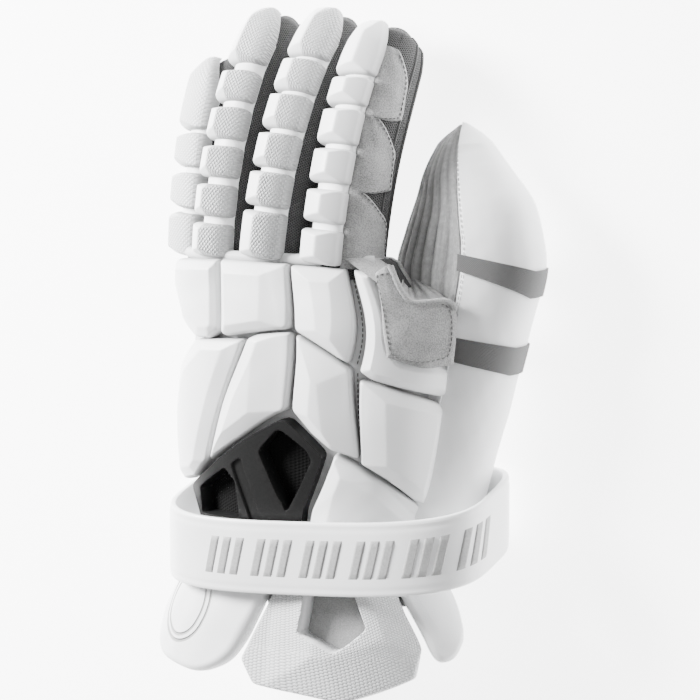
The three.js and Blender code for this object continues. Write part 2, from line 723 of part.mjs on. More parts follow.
// Wrist strap: a flat band in an oval loop that leans towards the wrist at its top
const strapCentre = { x: 0.035 * palmWidth, at: -0.02 };
const strapLean = { up: -0.27, across: 0.14 }; // shares of the strap's width
function strapRing(turn) {
  const roundness = Math.sin(turn) > 0 ? strapRoundness : strapFloorRoundness;
  const across = bow(Math.cos(turn), roundness);
  const above = bow(Math.sin(turn), roundness);
  const y = strapCentre.at * palmLength + (strapLean.up * above + strapLean.across * across) * strapWidth;
  return [0, 1].flatMap((edge) =>
    [0, 1].map((outer) => {
      const near = edge === 0 ? -strapWidth / 2 : strapWidth / 2;
      const thick = outer === edge ? 0 : strapThickness;
      const x = strapCentre.x + (strapSpan / 2 - thick) * across;
      const z = (strapRise / 2) * (strapFlat + Math.max(above, -strapFlat)) - thick * Math.max(above, -1);
      return new THREE.Vector3(x, y + near, z);
    }),
  );
}
add("wrist_strap", loop(shares(strapSides).slice(1).map((k) => strapRing(k * 2 * Math.PI))), strapRubber);

// Finger pads on their backing strips
const rimHeight = 0.6; // share of a pad's thickness where its bevel ends
const padFollow = 0.55; // how far a pad's top follows the round finger, 0 is flat
fingers.forEach((finger) => {
  const top = (share, across) => {
    const axes = tubeAxes(finger, share, 0);
    const ratio = Math.min(Math.abs(across - axes.out) / axes.half, 0.97);
    return axes.rise * (1 - ratio ** tubeRoundness) ** (1 / tubeRoundness) - axes.drop;
  };
  const pads = fingerPads[finger.name];
  const halfPad = (fingerPadWidth / 2) * tubes[finger.name].pad;
  const halfBacking = halfPad + clearance;
  const tipStart = 0.82; // the pads narrow from here to the tip
  const tipLoss = 0.42;
  const narrowing = (share) => 1 - tipLoss * THREE.MathUtils.clamp((share - tipStart) / 0.16, 0, 1) ** 2;
  const layer = (lift) => (u, v) => {
    const share = pads[0].from + (pads.at(-1).to - pads[0].from) * v;
    const across = u * halfBacking * narrowing(share);
    return fingerPoint(finger, share, across, top(share, across) + lift);
  };
  const stripStations = [0, 0.35, 0.7, 0.88, 1];
  const stripFaces = [backingLow - cutReach, padLow + cutReach].map(layer);
  const strip = solid(slab([-1, 0, 1], stripStations, ...stripFaces));
  const stripLayer = strip.intersect(fingerSolid(finger, backingHigh)).subtract(underBacking);
  add(finger.name + "_backing", geometryOf(largest(stripLayer)), whiteLeather);
  pads.forEach((pad, k) => {
    const isTip = k === pads.length - 1;
    const bevel = 0.16;
    const acrossPad = [-1, -1 + bevel, 0, 1 - bevel, 1];
    const alongPad = isTip ? [0, 0.1, 0.4, 0.7, 0.9, 1] : [0, bevel, 1 - bevel, 1];
    const at = (v) => pad.from + (pad.to - pad.from) * v;
    const lower = (u, v) => {
      const across = u * halfPad * narrowing(at(v));
      return fingerPoint(finger, at(v), across, top(at(v), across) + padLow - cutReach);
    };
    const upper = (u, v) => {
      const rim = Math.abs(u) === 1 || v === 0 || v === 1;
      const across = u * halfPad * narrowing(at(v));
      const corner = top(at(v), across);
      const crown = top(at(v), 0);
      const height = padLow + fingerPadThickness * (rim ? rimHeight : 1);
      return fingerPoint(finger, at(v), across, THREE.MathUtils.lerp(crown, corner, padFollow) + height);
    };
    const block = solid(slab(acrossPad, alongPad, lower, upper)).subtract(underPads);
    add(finger.name + "_pad_" + (k + 1), geometryOf(largest(block)), whiteLeather);
  });
});

// Scalloped suede panel down the thumb side of the index finger
const index = fingers[0];
const scallops = 3;
const panelSpan = { from: 0.03, to: 0.86 };
const panelTurn = { from: 54, root: -44, tip: -24, notch: 16 };
const panelPoint = (lift) => (u, v) => {
  const share = panelSpan.from + (panelSpan.to - panelSpan.from) * v;
  const deep = Math.abs(Math.sin(v * scallops * Math.PI)) ** 0.6;
  const outermost = THREE.MathUtils.lerp(panelTurn.root, panelTurn.tip, v);
  const edge = THREE.MathUtils.lerp(panelTurn.notch, outermost, deep);
  return tubePoint(index, share, (panelTurn.from + (edge - panelTurn.from) * u) * degree, lift);
};
const panelFaces = [backingLow - cutReach, backingHigh + cutReach].map(panelPoint);
const panelBlock = solid(slab(shares(2), shares(18), ...panelFaces));
const panelLayer = panelBlock.intersect(fingerSolid(index, backingHigh)).subtract(underBacking);
add("index_side_panel", geometryOf(largest(panelLayer)), greySuede);

// Suede saddle between the index finger and the thumb
function saddlePoint(u, v, lift) {
  const across = (rows, key) => smooth(rows.map((row, k) => ({ ...row, k })), "k", key, u * 2);
  const along = (key) => saddleRows.map((rows, k) => ({ k, value: across(rows, key) }));
  const at = (key) => smooth(along(key), "k", "value", v * 3);
  return new THREE.Vector3(at("x") * palmWidth, at("at") * palmLength, at("z") * palmHeight + lift);
}
add(
  "thumb_saddle",
  slab(
    shares(4),
    shares(6),
    (u, v) => saddlePoint(u, v, 0),
    (u, v) => saddlePoint(u, v, sheetWall + clearance),
  ),
  greySuede,
);

// The origin is under the middle of the glove, on the surface that it lies on.
const bounds = new THREE.Box3().setFromObject(glove);
const middle = bounds.getCenter(new THREE.Vector3());
glove.position.set(-middle.x, -middle.y, -bounds.min.z);

export default glove;
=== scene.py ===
# %% [markdown]
# # A lacrosse glove
# The glove lies palm down. Its solids come from the CAD model and stay where they are, hidden, for collision.
# Over each of them this lesson lays a surface with the finish of the real thing: coated leather over foam
# pads, suede, knit, mesh, a moulded strap and a plastic vent.

# %% Load the frame
import math

import bpy
import numpy as np
from mathutils import Matrix, Vector


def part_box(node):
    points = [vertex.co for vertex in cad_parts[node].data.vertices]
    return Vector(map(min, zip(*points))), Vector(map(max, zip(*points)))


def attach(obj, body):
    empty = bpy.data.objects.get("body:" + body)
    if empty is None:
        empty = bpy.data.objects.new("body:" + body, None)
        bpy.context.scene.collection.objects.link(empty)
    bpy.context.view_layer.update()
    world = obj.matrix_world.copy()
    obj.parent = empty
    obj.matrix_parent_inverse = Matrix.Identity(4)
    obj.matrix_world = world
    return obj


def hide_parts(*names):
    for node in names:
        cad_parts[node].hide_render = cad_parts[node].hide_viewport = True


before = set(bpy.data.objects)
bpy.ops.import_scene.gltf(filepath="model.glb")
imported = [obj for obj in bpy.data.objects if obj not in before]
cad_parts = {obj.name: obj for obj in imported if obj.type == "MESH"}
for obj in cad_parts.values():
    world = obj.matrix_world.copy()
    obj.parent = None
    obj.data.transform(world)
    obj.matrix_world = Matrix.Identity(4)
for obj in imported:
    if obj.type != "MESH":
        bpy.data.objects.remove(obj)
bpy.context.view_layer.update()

print("CAD nodes:", len(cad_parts))

# %% [markdown]
# ## The camera
# A photograph taken from far away has little perspective, so the camera is a long lens at 1.5 m. It looks
# down on the back of the hand, tipped to the thumb's side and a little to the finger tips.

# %% Camera
MM = 0.001
LOOK_AT = Vector((3.8, 1.0, 40.5)) * MM
TIP_TO_THUMB, TIP_TO_FINGERS = math.radians(28), math.radians(7)
DISTANCE = 1.5
FRAME_WIDTH = 0.35  # what the photograph's frame spans at the glove
SENSOR = 36.0

away = Vector((
    math.sin(TIP_TO_THUMB) * math.cos(TIP_TO_FINGERS),
    math.sin(TIP_TO_FINGERS),
    math.cos(TIP_TO_THUMB) * math.cos(TIP_TO_FINGERS),
))
right = Vector((math.cos(TIP_TO_THUMB), 0, -math.sin(TIP_TO_THUMB)))
up = away.cross(right)
lens = bpy.data.cameras.new("camera")
lens.sensor_width = SENSOR
lens.lens = SENSOR * DISTANCE / FRAME_WIDTH
lens.clip_start, lens.clip_end = 0.05, 20
camera = bpy.data.objects.new("camera", lens)
turn = Matrix((right, up, away)).transposed()
camera.matrix_world = Matrix.Translation(LOOK_AT + away * DISTANCE) @ turn.to_4x4()
bpy.context.scene.collection.objects.link(camera)
bpy.context.scene.camera = camera
print("lens:", round(lens.lens, 1), "mm")

# %% [markdown]
# ## The sizes that the glove is drawn from
# The sections of the hand, the fingers and the thumb are short tables. A smooth curve runs through each
# column, so a surface can be asked for anywhere. They follow the tables of the CAD source, so what is made
# here lies on its solids. Only the thumb near its tip and the guard's seam are drawn a few millimetres
# closer to the photograph. Further down, some outlines of pads, cuff, vent and saddle are too, by 13 mm at
# most, at the vent's left opening, and the finger strips and the cuff's lining are shorter than their solids.

# %% Sizes in millimetres
PALM_LENGTH, PALM_WIDTH, PALM_HEIGHT = 136, 134, 74.5
FINGER_LENGTH, FINGER_WIDTH, FINGER_HEIGHT = 128.9, 27, 29
THUMB_LENGTH, THUMB_WIDTH, THUMB_HEIGHT = 202, 78, 51.5
CUFF_LENGTH = 86
LEATHER, SHEET = 2.5, 1.5
PAD, FINGER_PAD, FINGER_PAD_WIDTH = 9.5, 9, 23
FLAP, TONGUE, GUARD, RIB = 7, 11, 4, 7
STRAP_WIDTH, STRAP_THICK, STRAP_EASE, STRAP_RISE = 37, 3.6, 6.7, 78.5
STRAP_SPAN = 1.07 * PALM_WIDTH + 2 * (FLAP + STRAP_THICK + STRAP_EASE)
STRAP_X, STRAP_Y = 0.035, -0.02  # the loop's middle, as shares of the palm's width and length
GAP, CLEAR = 1.2, 0.35
BACK_LOW = CLEAR
BACK_HIGH = BACK_LOW + SHEET
PAD_LOW = BACK_HIGH + CLEAR

# rows: at, left, right, top, middle, bottom
HAND = np.array([
    [-0.66, -0.72, 0.66, 0.915, 0.417, 0.07],
    [-0.4, -0.66, 0.58, 0.873, 0.406, 0.07],
    [-0.2, -0.565, 0.47, 0.841, 0.396, 0.07],
    [0, -0.535, 0.4, 0.825, 0.396, 0.07],
    [0.21, -0.55, 0.45, 0.878, 0.422, 0.063],
    [0.46, -0.54, 0.48, 0.952, 0.475, 0.006],
    [0.72, -0.52, 0.49, 0.974, 0.528, 0.195],
    [1, -0.51, 0.34, 0.92, 0.666, 0.5],
])
# x, z, start, yaw, roll, pitch at the root, pitch at the tip, length: shares of the sizes, and degrees
FINGERS = {
    "index": (0.131, 0.758, 0.974, 4, 7.4, 1.3, 38.8, 0.957),
    "middle": (-0.114, 0.772, 0.994, 5.5, 7.4, 0, 46.7, 1),
    "ring": (-0.335, 0.705, 0.985, 3, 13.4, -1.3, 44.8, 0.999),
    "pinky": (-0.482, 0.49, 0.973, 2.6, 43.7, -2.1, 22.8, 0.784),
}
# wide, tall, out to the thumb's side and drop, as shares of a finger's size, and pad of a pad's width
TUBES = {
    "index": (1.22, 1.24, 0.09, 0.12, 1),
    "middle": (1.1, 1.12, 0, 0.06, 0.98),
    "ring": (1, 1.08, 0, 0.05, 0.92),
    "pinky": (0.94, 0.98, 0, 0, 0.98),
}
# where each pad starts and stops, as shares of its finger's length
FINGER_PADS = {
    "index": [(0.01, 0.13), (0.16, 0.275), (0.305, 0.425), (0.45, 0.575), (0.6, 0.7), (0.72, 0.96)],
    "middle": [(0.005, 0.16), (0.182, 0.296), (0.318, 0.433), (0.457, 0.575), (0.597, 0.712), (0.735, 0.96)],
    "ring": [(0.01, 0.12), (0.15, 0.257), (0.287, 0.392), (0.423, 0.532), (0.564, 0.672), (0.713, 0.96)],
    "pinky": [(0.01, 0.202), (0.232, 0.392), (0.426, 0.58), (0.604, 0.955)],
}
# rows: share of a finger's length, and its size there
TIP = np.array([[-0.04, 1], [0.22, 1], [0.46, 1], [0.68, 0.99], [0.86, 0.92], [0.95, 0.76], [1, 0.4]])
# rows: at, x, half, middle, rise
THUMB = np.array([
    [-0.03, 0.373, 0.36, 0.545, 0.443],
    [0.153, 0.418, 0.385, 0.531, 0.436],
    [0.312, 0.47, 0.41, 0.505, 0.495],
    [0.5, 0.53, 0.436, 0.5, 0.5],
    [0.653, 0.552, 0.5, 0.489, 0.489],
    [0.74, 0.561, 0.455, 0.478, 0.478],
    [0.812, 0.556, 0.39, 0.442, 0.442],
    [0.881, 0.522, 0.295, 0.388, 0.378],
    [0.95, 0.495, 0.185, 0.322, 0.26],
    [1, 0.486, 0.06, 0.301, 0.076],
])
# rows: at, x
GUARD_SEAM = np.array([
    [-0.1, 0.29], [0.064, 0.38], [0.243, 0.465], [0.436, 0.54], [0.535, 0.57],
    [0.7, 0.594], [0.852, 0.553], [0.955, 0.51], [1.0, 0.49], [1.1, 0.48],
])

# The CAD model puts its origin under the glove's middle. Two nodes whose places are known give the step.
strap_left = (STRAP_X * PALM_WIDTH - STRAP_SPAN / 2) * MM
ORIGIN = np.array([
    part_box("wrist_strap")[0][0] - strap_left,
    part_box("thumb_guard")[1][1] - THUMB_LENGTH * MM,
    0,
]) / MM
print("step to the frame's origin in mm:", ORIGIN.round(1))

# %% [markdown]
# ## Surfaces as functions
# Each surface takes whole arrays of two parameters and a distance outwards, and gives an array of points.
# A superellipse is an ellipse whose power can be more than 2, which makes it squarer, as a padded hand is.

# %% Curves and superellipses
def curve(rows, column, at):
    """Value of a table's column on a smooth curve through its rows (Catmull-Rom)."""
    places, values = rows[:, 0], rows[:, column]
    at = np.clip(at, places[0], places[-1])
    k = np.clip(np.searchsorted(places, at, side="left") - 1, 0, len(places) - 2)
    a, b, c, d = (values[np.clip(k + step, 0, len(places) - 1)] for step in (-1, 0, 1, 2))
    t = (at - places[k]) / (places[k + 1] - places[k])
    bend = (2 * a - 5 * b + 4 * c - d) * t**2 + (3 * b - a - 3 * c + d) * t**3
    return b + ((c - a) * t + bend) / 2


def bow(value, roundness):
    """A superellipse's share of its half-axis, from the sine or cosine of the angle."""
    return np.sign(value) * np.abs(value) ** (2 / roundness)


def stack(x, y, z):
    """Three arrays as one array of points."""
    return np.stack(np.broadcast_arrays(x, y, z), axis=-1)


def unit(vectors):
    """Vectors of length one."""
    return vectors / np.maximum(np.linalg.norm(vectors, axis=-1, keepdims=True), 1e-9)


def steps(count, low=0.0, high=1.0):
    """Numbers at even steps from low to high."""
    return np.linspace(low, high, count)


def plan_of(across, along):
    """Two arrays as one array of flat points."""
    return np.stack(np.broadcast_arrays(across, along), axis=-1)


def run_along(path):
    """The distance walked along a path up to each of its points."""
    return np.concatenate([[0], np.cumsum(np.linalg.norm(np.diff(path, axis=0), axis=1))])


# %% The hand's sections
BACK_ROUND, PALM_ROUND, TUBE_ROUND, THUMB_ROUND = 2.3, 3, 2.4, 2.2


def hand_point(turn, at, grow):
    """A point on the hand's section at an angle: a half superellipse above its middle and one below."""
    left = curve(HAND, 1, at) * PALM_WIDTH - grow
    right = curve(HAND, 2, at) * PALM_WIDTH + grow
    top, middle, bottom = (curve(HAND, c, at) * PALM_HEIGHT for c in (3, 4, 5))
    over = np.sin(turn) > 0
    roundness = np.where(over, BACK_ROUND, PALM_ROUND)
    reach = np.where(over, top - middle, middle - bottom) + grow
    x = (left + right) / 2 + (right - left) / 2 * bow(np.cos(turn), roundness)
    return stack(x, at * PALM_LENGTH, middle + reach * bow(np.sin(turn), roundness))


ROUND_UNIT = PALM_WIDTH * 1.25  # one whole turn over the back, in the flat plan of the pads


def back_point(x, y, out):
    """A point above the back of the hand. x runs over the back from the little finger's side, y along it,
    both in millimetres of a flat plan, and out is the distance along the surface's normal."""
    step = 0.002

    def on(r, a):
        return hand_point(np.pi * (1 - r), a, 0)

    r, a = np.asarray(x) / ROUND_UNIT, np.asarray(y) / PALM_LENGTH
    across = on(r + step, a) - on(r - step, a)
    along = on(r, a + step) - on(r, a - step)
    return on(r, a) + unit(np.cross(across, along)) * np.asarray(out)[..., None]


# %% The fingers
def finger_frame(name, share):
    """Centre, side and upward direction on a finger's centre line, an arc whose pitch grows evenly."""
    x, z, start, yaw, roll, root, tip, length = FINGERS[name]
    yaw, roll, root, tip = np.radians([yaw, roll, root, tip])
    pitch = root + (tip - root) * share
    radius = length * FINGER_LENGTH / (tip - root)
    forward = radius * (np.sin(pitch) - np.sin(root))
    centre = stack(
        x * PALM_WIDTH + np.sin(yaw) * forward,
        start * PALM_LENGTH + np.cos(yaw) * forward,
        z * PALM_HEIGHT + radius * (np.cos(pitch) - np.cos(root)),
    )
    ahead = stack(np.sin(yaw) * np.cos(pitch), np.cos(yaw) * np.cos(pitch), -np.sin(pitch))
    level = np.broadcast_to([np.cos(yaw), -np.sin(yaw), 0], ahead.shape)
    side = unit(level * np.cos(roll) + np.cross(level, ahead) * np.sin(roll))
    return centre, side, np.cross(side, ahead)


def finger_point(name, share, across, above):
    """A point near a finger: share along it, distance to its side and distance above its centre line."""
    centre, side, above_line = finger_frame(name, share)
    return centre + side * np.asarray(across)[..., None] + above_line * np.asarray(above)[..., None]


def tube_axes(name, share, grow):
    """Half width, half height, and the sideways and downward shift of a finger's tube."""
    wide, tall, out, drop, _ = TUBES[name]
    size = curve(TIP, 1, share)
    return (
        size * wide * FINGER_WIDTH / 2 + grow,
        size * tall * FINGER_HEIGHT / 2 + grow,
        out * FINGER_WIDTH,
        drop * FINGER_HEIGHT,
    )


def tube_point(name, share, turn, grow):
    """A point on a finger's tube: the angle starts at the thumb's side and goes over the back."""
    half, rise, out, drop = tube_axes(name, share, grow)
    across = out + half * bow(np.cos(turn), TUBE_ROUND)
    return finger_point(name, share, across, rise * bow(np.sin(turn), TUBE_ROUND) - drop)


# %% The thumb
def thumb_point(turn, at, grow, thin):
    """A point on the thumb's oval sleeve. Thin draws in its top and its outer side."""
    x, half, middle, rise = (curve(THUMB, c, at) for c in (1, 2, 3, 4))
    dome = np.sqrt(np.clip(1 - (np.clip(at - 0.97, 0, 1) / 0.03) ** 2, 0, 1))
    half = np.maximum(half * THUMB_WIDTH + grow - thin / 2, CLEAR) * dome
    rise = np.maximum(rise * THUMB_HEIGHT + grow - thin / 2, CLEAR) * dome
    return stack(
        x * PALM_WIDTH - thin / 2 + half * bow(np.cos(turn), THUMB_ROUND),
        at * THUMB_LENGTH,
        middle * THUMB_HEIGHT - thin / 2 + rise * bow(np.sin(turn), THUMB_ROUND),
    )


print("knuckle height over the middle finger:", back_point(0.4 * ROUND_UNIT, 130, 0).round(1), "mm")

# %% [markdown]
# ## From arrays to pieces
# A grid of points becomes quads. A closed pad is a stack of rings that start at the middle of its underside,
# go out to its edge, up its side and back in to the middle of its top. A sheet or shell is two grids, an
# inner and an outer one, joined round their rims. In each case the numbers of the corners are worked out as
# whole arrays, and foreach_set hands them to Blender. A closed mesh whose volume comes out negative is
# inside out, so its faces are turned round.

# %% Making a mesh
made = {}


def piece(name, points, faces, finish, slot, uv=None, marks=None, smooth_under=50):
    """A mesh object from points in the part's millimetres and rows of corner numbers, riding on the glove.
    Rows that end with the same corner twice are triangles. uv is in centimetres, marks are named arrays."""
    points = np.asarray(points, float).reshape(-1, 3)
    faces = np.asarray(faces)
    a, b, c, d = (points[faces[:, k]] for k in range(4))
    volume = (a * np.cross(b, c)).sum() + (a * np.cross(c, d)).sum()
    triangle = faces[:, 2] == faces[:, 3]
    four, three = faces[~triangle], faces[triangle][:, :3]
    if volume < 0:
        four, three = four[:, ::-1], three[:, ::-1]
    corners = np.concatenate([four.ravel(), three.ravel()])
    sizes = np.concatenate([np.full(len(four), 4), np.full(len(three), 3)])
    mesh = bpy.data.meshes.new(name)
    mesh.vertices.add(len(points))
    mesh.vertices.foreach_set("co", ((points + ORIGIN) * MM).ravel())
    mesh.loops.add(len(corners))
    mesh.loops.foreach_set("vertex_index", corners)
    mesh.polygons.add(len(sizes))
    mesh.polygons.foreach_set("loop_start", np.concatenate([[0], np.cumsum(sizes)[:-1]]))
    if uv is not None:
        layer = mesh.uv_layers.new(name="flat")
        layer.uv.foreach_set("vector", np.asarray(uv, float).reshape(-1, 2)[corners].ravel())
    for key, values in (marks or {}).items():
        mark = mesh.attributes.new(key, "FLOAT", "POINT")
        mark.data.foreach_set("value", np.asarray(values, float).ravel())
    mesh.update(calc_edges=True)
    mesh.validate()
    mesh.shade_smooth()
    mesh.set_sharp_from_angle(angle=math.radians(smooth_under))
    obj = bpy.data.objects.new(name, mesh)
    bpy.context.scene.collection.objects.link(obj)
    mesh.materials.append(finish)
    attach(obj, "root")
    made[name] = len(points)
    return obj


def quads(rows, columns, start=0, wrap=False, wrap_rows=False):
    """Corner numbers of the quads of a grid of points, row after row, maybe closed on itself."""
    j = np.arange(rows if wrap_rows else rows - 1)[:, None]
    i = np.arange(columns if wrap else columns - 1)[None]
    after, on = (i + 1) % columns, (j + 1) % rows
    corners = [j * columns + i, j * columns + after, on * columns + after, on * columns + i]
    return start + np.stack(np.broadcast_arrays(*corners), -1).reshape(-1, 4)


def fan(count, middle, start=0, turned=False):
    """Triangles that close a ring of points, numbered from start on, with the point in its middle."""
    ring = start + np.arange(count)
    after = start + (np.arange(count) + 1) % count
    first, second = (after, ring) if turned else (ring, after)
    return np.stack([np.full(count, middle), first, second, second], -1)


def shell(name, inner, outer, finish, slot, uv=None, wrap=False, marks=None, smooth_under=50):
    """A closed sheet between two grids of the same shape, joined round their rims."""
    rows, columns = inner.shape[:2]
    count = rows * columns
    low, high = quads(rows, columns, 0, wrap)[:, ::-1], quads(rows, columns, count, wrap)
    ends = [np.arange(columns), (rows - 1) * columns + np.arange(columns)[::-1]]
    if wrap:
        rims = [np.append(end, end[0]) for end in ends]
    else:
        sides = [np.arange(rows)[::-1] * columns, np.arange(rows) * columns + columns - 1]
        rims = ends + sides
    walls = [np.stack([rim[:-1], rim[1:], rim[1:] + count, rim[:-1] + count], -1) for rim in rims]
    both = None if uv is None else np.concatenate([uv.reshape(-1, 2)] * 2)
    marks = {k: np.concatenate([np.ravel(v)] * 2) for k, v in (marks or {}).items()}
    points = np.concatenate([inner.reshape(-1, 3), outer.reshape(-1, 3)])
    return piece(name, points, np.concatenate([low, high, *walls]), finish, slot, both, marks, smooth_under)


def soft_noise(points, size, seed):
    """Smooth unevenness from -1 to 1 with lumps of about that size: a sum of waves in chance directions."""
    chance = np.random.default_rng(seed)
    total = 0
    for _ in range(7):
        wave = unit(chance.normal(size=3)) * 2 * np.pi / (size * chance.uniform(0.7, 1.6))
        total = total + np.sin(points @ wave + chance.uniform(0, 2 * np.pi))
    return total / 4


# %% Outlines
def rounded(corners, radius, spacing):
    """A polygon's outline with each corner replaced by a curve, walked at an even spacing. Each rounding
    is a quadratic curve that starts and ends a radius away from its corner, or less on a short side."""
    corners = np.asarray(corners, float)
    before, after = np.roll(corners, 1, 0), np.roll(corners, -1, 0)
    back = np.linalg.norm(before - corners, axis=1)
    on = np.linalg.norm(after - corners, axis=1)
    cut_back, cut_on = np.minimum(radius, 0.48 * back), np.minimum(radius, 0.48 * on)
    first = corners + (before - corners) * (cut_back / back)[:, None]
    last = corners + (after - corners) * (cut_on / on)[:, None]
    t = steps(7)[None, :, None]
    path = first[:, None] * (1 - t) ** 2 + corners[:, None] * 2 * t * (1 - t) + last[:, None] * t**2
    return even(path.reshape(-1, 2), spacing, closed=True)


def even(path, spacing, closed=False):
    """Points at an even spacing along a path of points."""
    path = np.concatenate([path, path[:1]]) if closed else path
    run = run_along(path)
    count = max(3, int(round(run[-1] / spacing)))
    at = steps(count + 1) * run[-1]
    walked = np.stack([np.interp(at, run, path[:, k]) for k in range(path.shape[1])], -1)
    return walked[:-1] if closed else walked


def left_of(ways):
    """Flat directions turned a quarter to the left."""
    return np.stack([-ways[:, 1], ways[:, 0]], -1)


def turning(corners):
    """1 for a polygon that runs to the left round its middle, -1 for one that runs to the right: the sign of
    its area."""
    x, y = corners[:, 0], corners[:, 1]
    return np.sign((x * np.roll(y, -1) - np.roll(x, -1) * y).sum())


def inset(corners, by):
    """A polygon with each side moved inwards."""
    corners = np.asarray(corners, float)
    ahead = unit(np.roll(corners, -1, 0) - corners)
    back = np.roll(ahead, 1, 0)
    inward = turning(corners) * (left_of(ahead) + left_of(back))
    return corners + inward * by / (1 + (ahead * back).sum(1, keepdims=True))


def distance_inside(points, outline):
    """Distance of flat points from the nearest stretch of a closed outline."""
    start, run = outline, np.roll(outline, -1, 0) - outline
    gap = points[:, None] - start[None]
    share = np.clip((gap * run).sum(-1) / np.maximum((run * run).sum(-1), 1e-9), 0, 1)
    return np.linalg.norm(gap - share[..., None] * run, axis=-1).min(1)


def facet_shares(points, corners, widths):
    """How far up its slope each point of a bevelled plateau is, from 0 at the edge to 1 on top: for each
    side, the distance from its line as a share of that side's width, and then the smallest, softened."""
    corners = np.asarray(corners, float)
    ahead = unit(np.roll(corners, -1, 0) - corners)
    inward = turning(corners) * left_of(ahead)
    far = ((points[:, None] - corners[None]) * inward).sum(-1) / np.asarray(widths, float)
    shares = np.concatenate([np.clip(far, 0, 3), np.ones((len(points), 1))], 1)
    soft = 70
    return np.clip(-np.log(np.exp(-soft * shares).sum(1)) / soft, 0, 1)


# %% [markdown]
# ## A foam pad
# Each pad is cut foam under stretched leather: it stands up steeply from its seam, rounds over, and then
# rises in flat facets to a plateau. The facets are worked out from the pad's own outline: the height of a
# point is its distance from each side, as a share of how wide that side's slope is.

# %% Foam pads
SKIRT = 0.3    # share of a pad's thickness that stands straight up from the seam
ROLL = 2.0     # millimetres over which its edge rounds over
FACET = 0.42   # share of its thickness that the facets give


def foam_pad(name, outline, surface, low, thick, finish, slot, facets=None, middle=None, rings=16,
             roll=ROLL, facet=FACET, puff=0.35, seed=1, mark=None, skirt=SKIRT):
    """A closed pad on a surface. outline is the pad's edge in the flat plan, surface(x, y, out) lays the
    plan on the glove, and facets(points) gives the share of the facets' height. Three marks go with it for
    its finish: where its relief is, how near its edge is, and what is its top."""
    centre = outline.mean(0) if middle is None else np.asarray(middle, float)
    inward = np.concatenate([[0.55, 0.0], np.zeros(3), steps(rings + 1)[1:-1] ** 1.5])
    lift = np.concatenate([[0, 0], skirt * np.array([0.35, 0.8, 1]), np.full(rings - 1, skirt)])
    flat = outline[None] + (centre - outline)[None] * inward[:, None, None]
    flat = np.concatenate([flat.reshape(-1, 2), [centre, centre]])
    on_top = np.concatenate([np.repeat(inward > 0, len(outline)), [False, True]])
    on_top[: len(outline)] = False
    edge = distance_inside(flat, outline)
    over = np.sqrt(1 - (1 - np.clip(edge / roll, 0, 1)) ** 2)
    slope = facets(flat) if facets else np.clip(edge / (0.5 * edge.max()), 0, 1)
    rise = skirt + (1 - skirt) * ((1 - facet) * over + facet * slope)
    share = np.where(on_top, rise, np.concatenate([np.repeat(lift, len(outline)), [0, skirt]]))
    uneven = puff * soft_noise(np.pad(flat, ((0, 0), (0, 1))), 17, seed) * np.clip(edge / 4, 0, 1) * on_top
    points = surface(flat[:, 0], flat[:, 1], low + thick * share + uneven)
    count = len(outline)
    bottom = fan(count, len(flat) - 2)
    top = fan(count, len(flat) - 1, (len(inward) - 1) * count, True)
    body = quads(len(inward), count, 0, True)[:, ::-1]
    # the edge mark carries the shade that the leather paints along the pad's outline
    marks = {"knurl": mark(flat) if mark else np.zeros(len(flat)), "edge": np.exp(-edge / 0.7),
             "top": on_top.astype(float)}
    obj = piece(name, points, np.concatenate([bottom, body, top]), finish, slot, flat / 10, marks, 60)
    return obj

# %% [markdown]
# ## Finishes
# A finish is a material worked out from formulas, so it needs no image. Patterns with no direction, such as
# the pebble of leather, read Object coordinates in metres. Patterns that follow a surface, such as a weave,
# read the piece's own flat plan, which is kept as its UV map in centimetres. Effects that several finishes
# share are node groups: leather grain, a relief of crossed ridges, and a honeycomb.

# %% Node helpers
def link(tree, source, target):
    tree.links.new(source, target)


def math_node(tree, operation, *values):
    """A Math node; a value is a number or another node's socket."""
    node = tree.nodes.new("ShaderNodeMath")
    node.operation = operation
    for k, value in enumerate(values):
        if isinstance(value, (int, float)):
            node.inputs[k].default_value = value
        else:
            link(tree, value, node.inputs[k])
    return node.outputs[0]


def noise_node(tree, vector, scale, detail=2.0, roughness=0.5):
    node = tree.nodes.new("ShaderNodeTexNoise")
    node.inputs["Scale"].default_value = scale
    node.inputs["Detail"].default_value = detail
    node.inputs["Roughness"].default_value = roughness
    link(tree, vector, node.inputs["Vector"])
    return node.outputs[0]


def new_group(name, inputs, outputs):
    """An empty node group with float and vector sockets, its inlet and its outlet."""
    tree = bpy.data.node_groups.new(name, "ShaderNodeTree")
    for label, kind, value in inputs:
        socket = tree.interface.new_socket(label, in_out="INPUT", socket_type=kind)
        if value is not None:
            socket.default_value = value
    for label, kind in outputs:
        tree.interface.new_socket(label, in_out="OUTPUT", socket_type=kind)
    return tree, tree.nodes.new("NodeGroupInput").outputs, tree.nodes.new("NodeGroupOutput").inputs


FLOAT, VECTOR = "NodeSocketFloat", "NodeSocketVector"

# %% Leather grain: small cells for the pebble, longer soft creases, and a slow unevenness for the tone
grain, given, result = new_group(
    "leather grain",
    [("Vector", VECTOR, None), ("Size", FLOAT, 900.0), ("Crease", FLOAT, 0.4)],
    [("Height", FLOAT), ("Tone", FLOAT)],
)
cells = grain.nodes.new("ShaderNodeTexVoronoi")
cells.feature = "DISTANCE_TO_EDGE"
link(grain, given["Vector"], cells.inputs["Vector"])
link(grain, given["Size"], cells.inputs["Scale"])
pebble = math_node(grain, "MINIMUM", cells.outputs["Distance"], 0.35)
crease = noise_node(grain, given["Vector"], 75.0, 3.0, 0.6)
height = math_node(grain, "MULTIPLY_ADD", crease, given["Crease"], math_node(grain, "MULTIPLY", pebble, 0.6))
link(grain, height, result["Height"])
link(grain, noise_node(grain, given["Vector"], 28.0, 4.0, 0.55), result["Tone"])

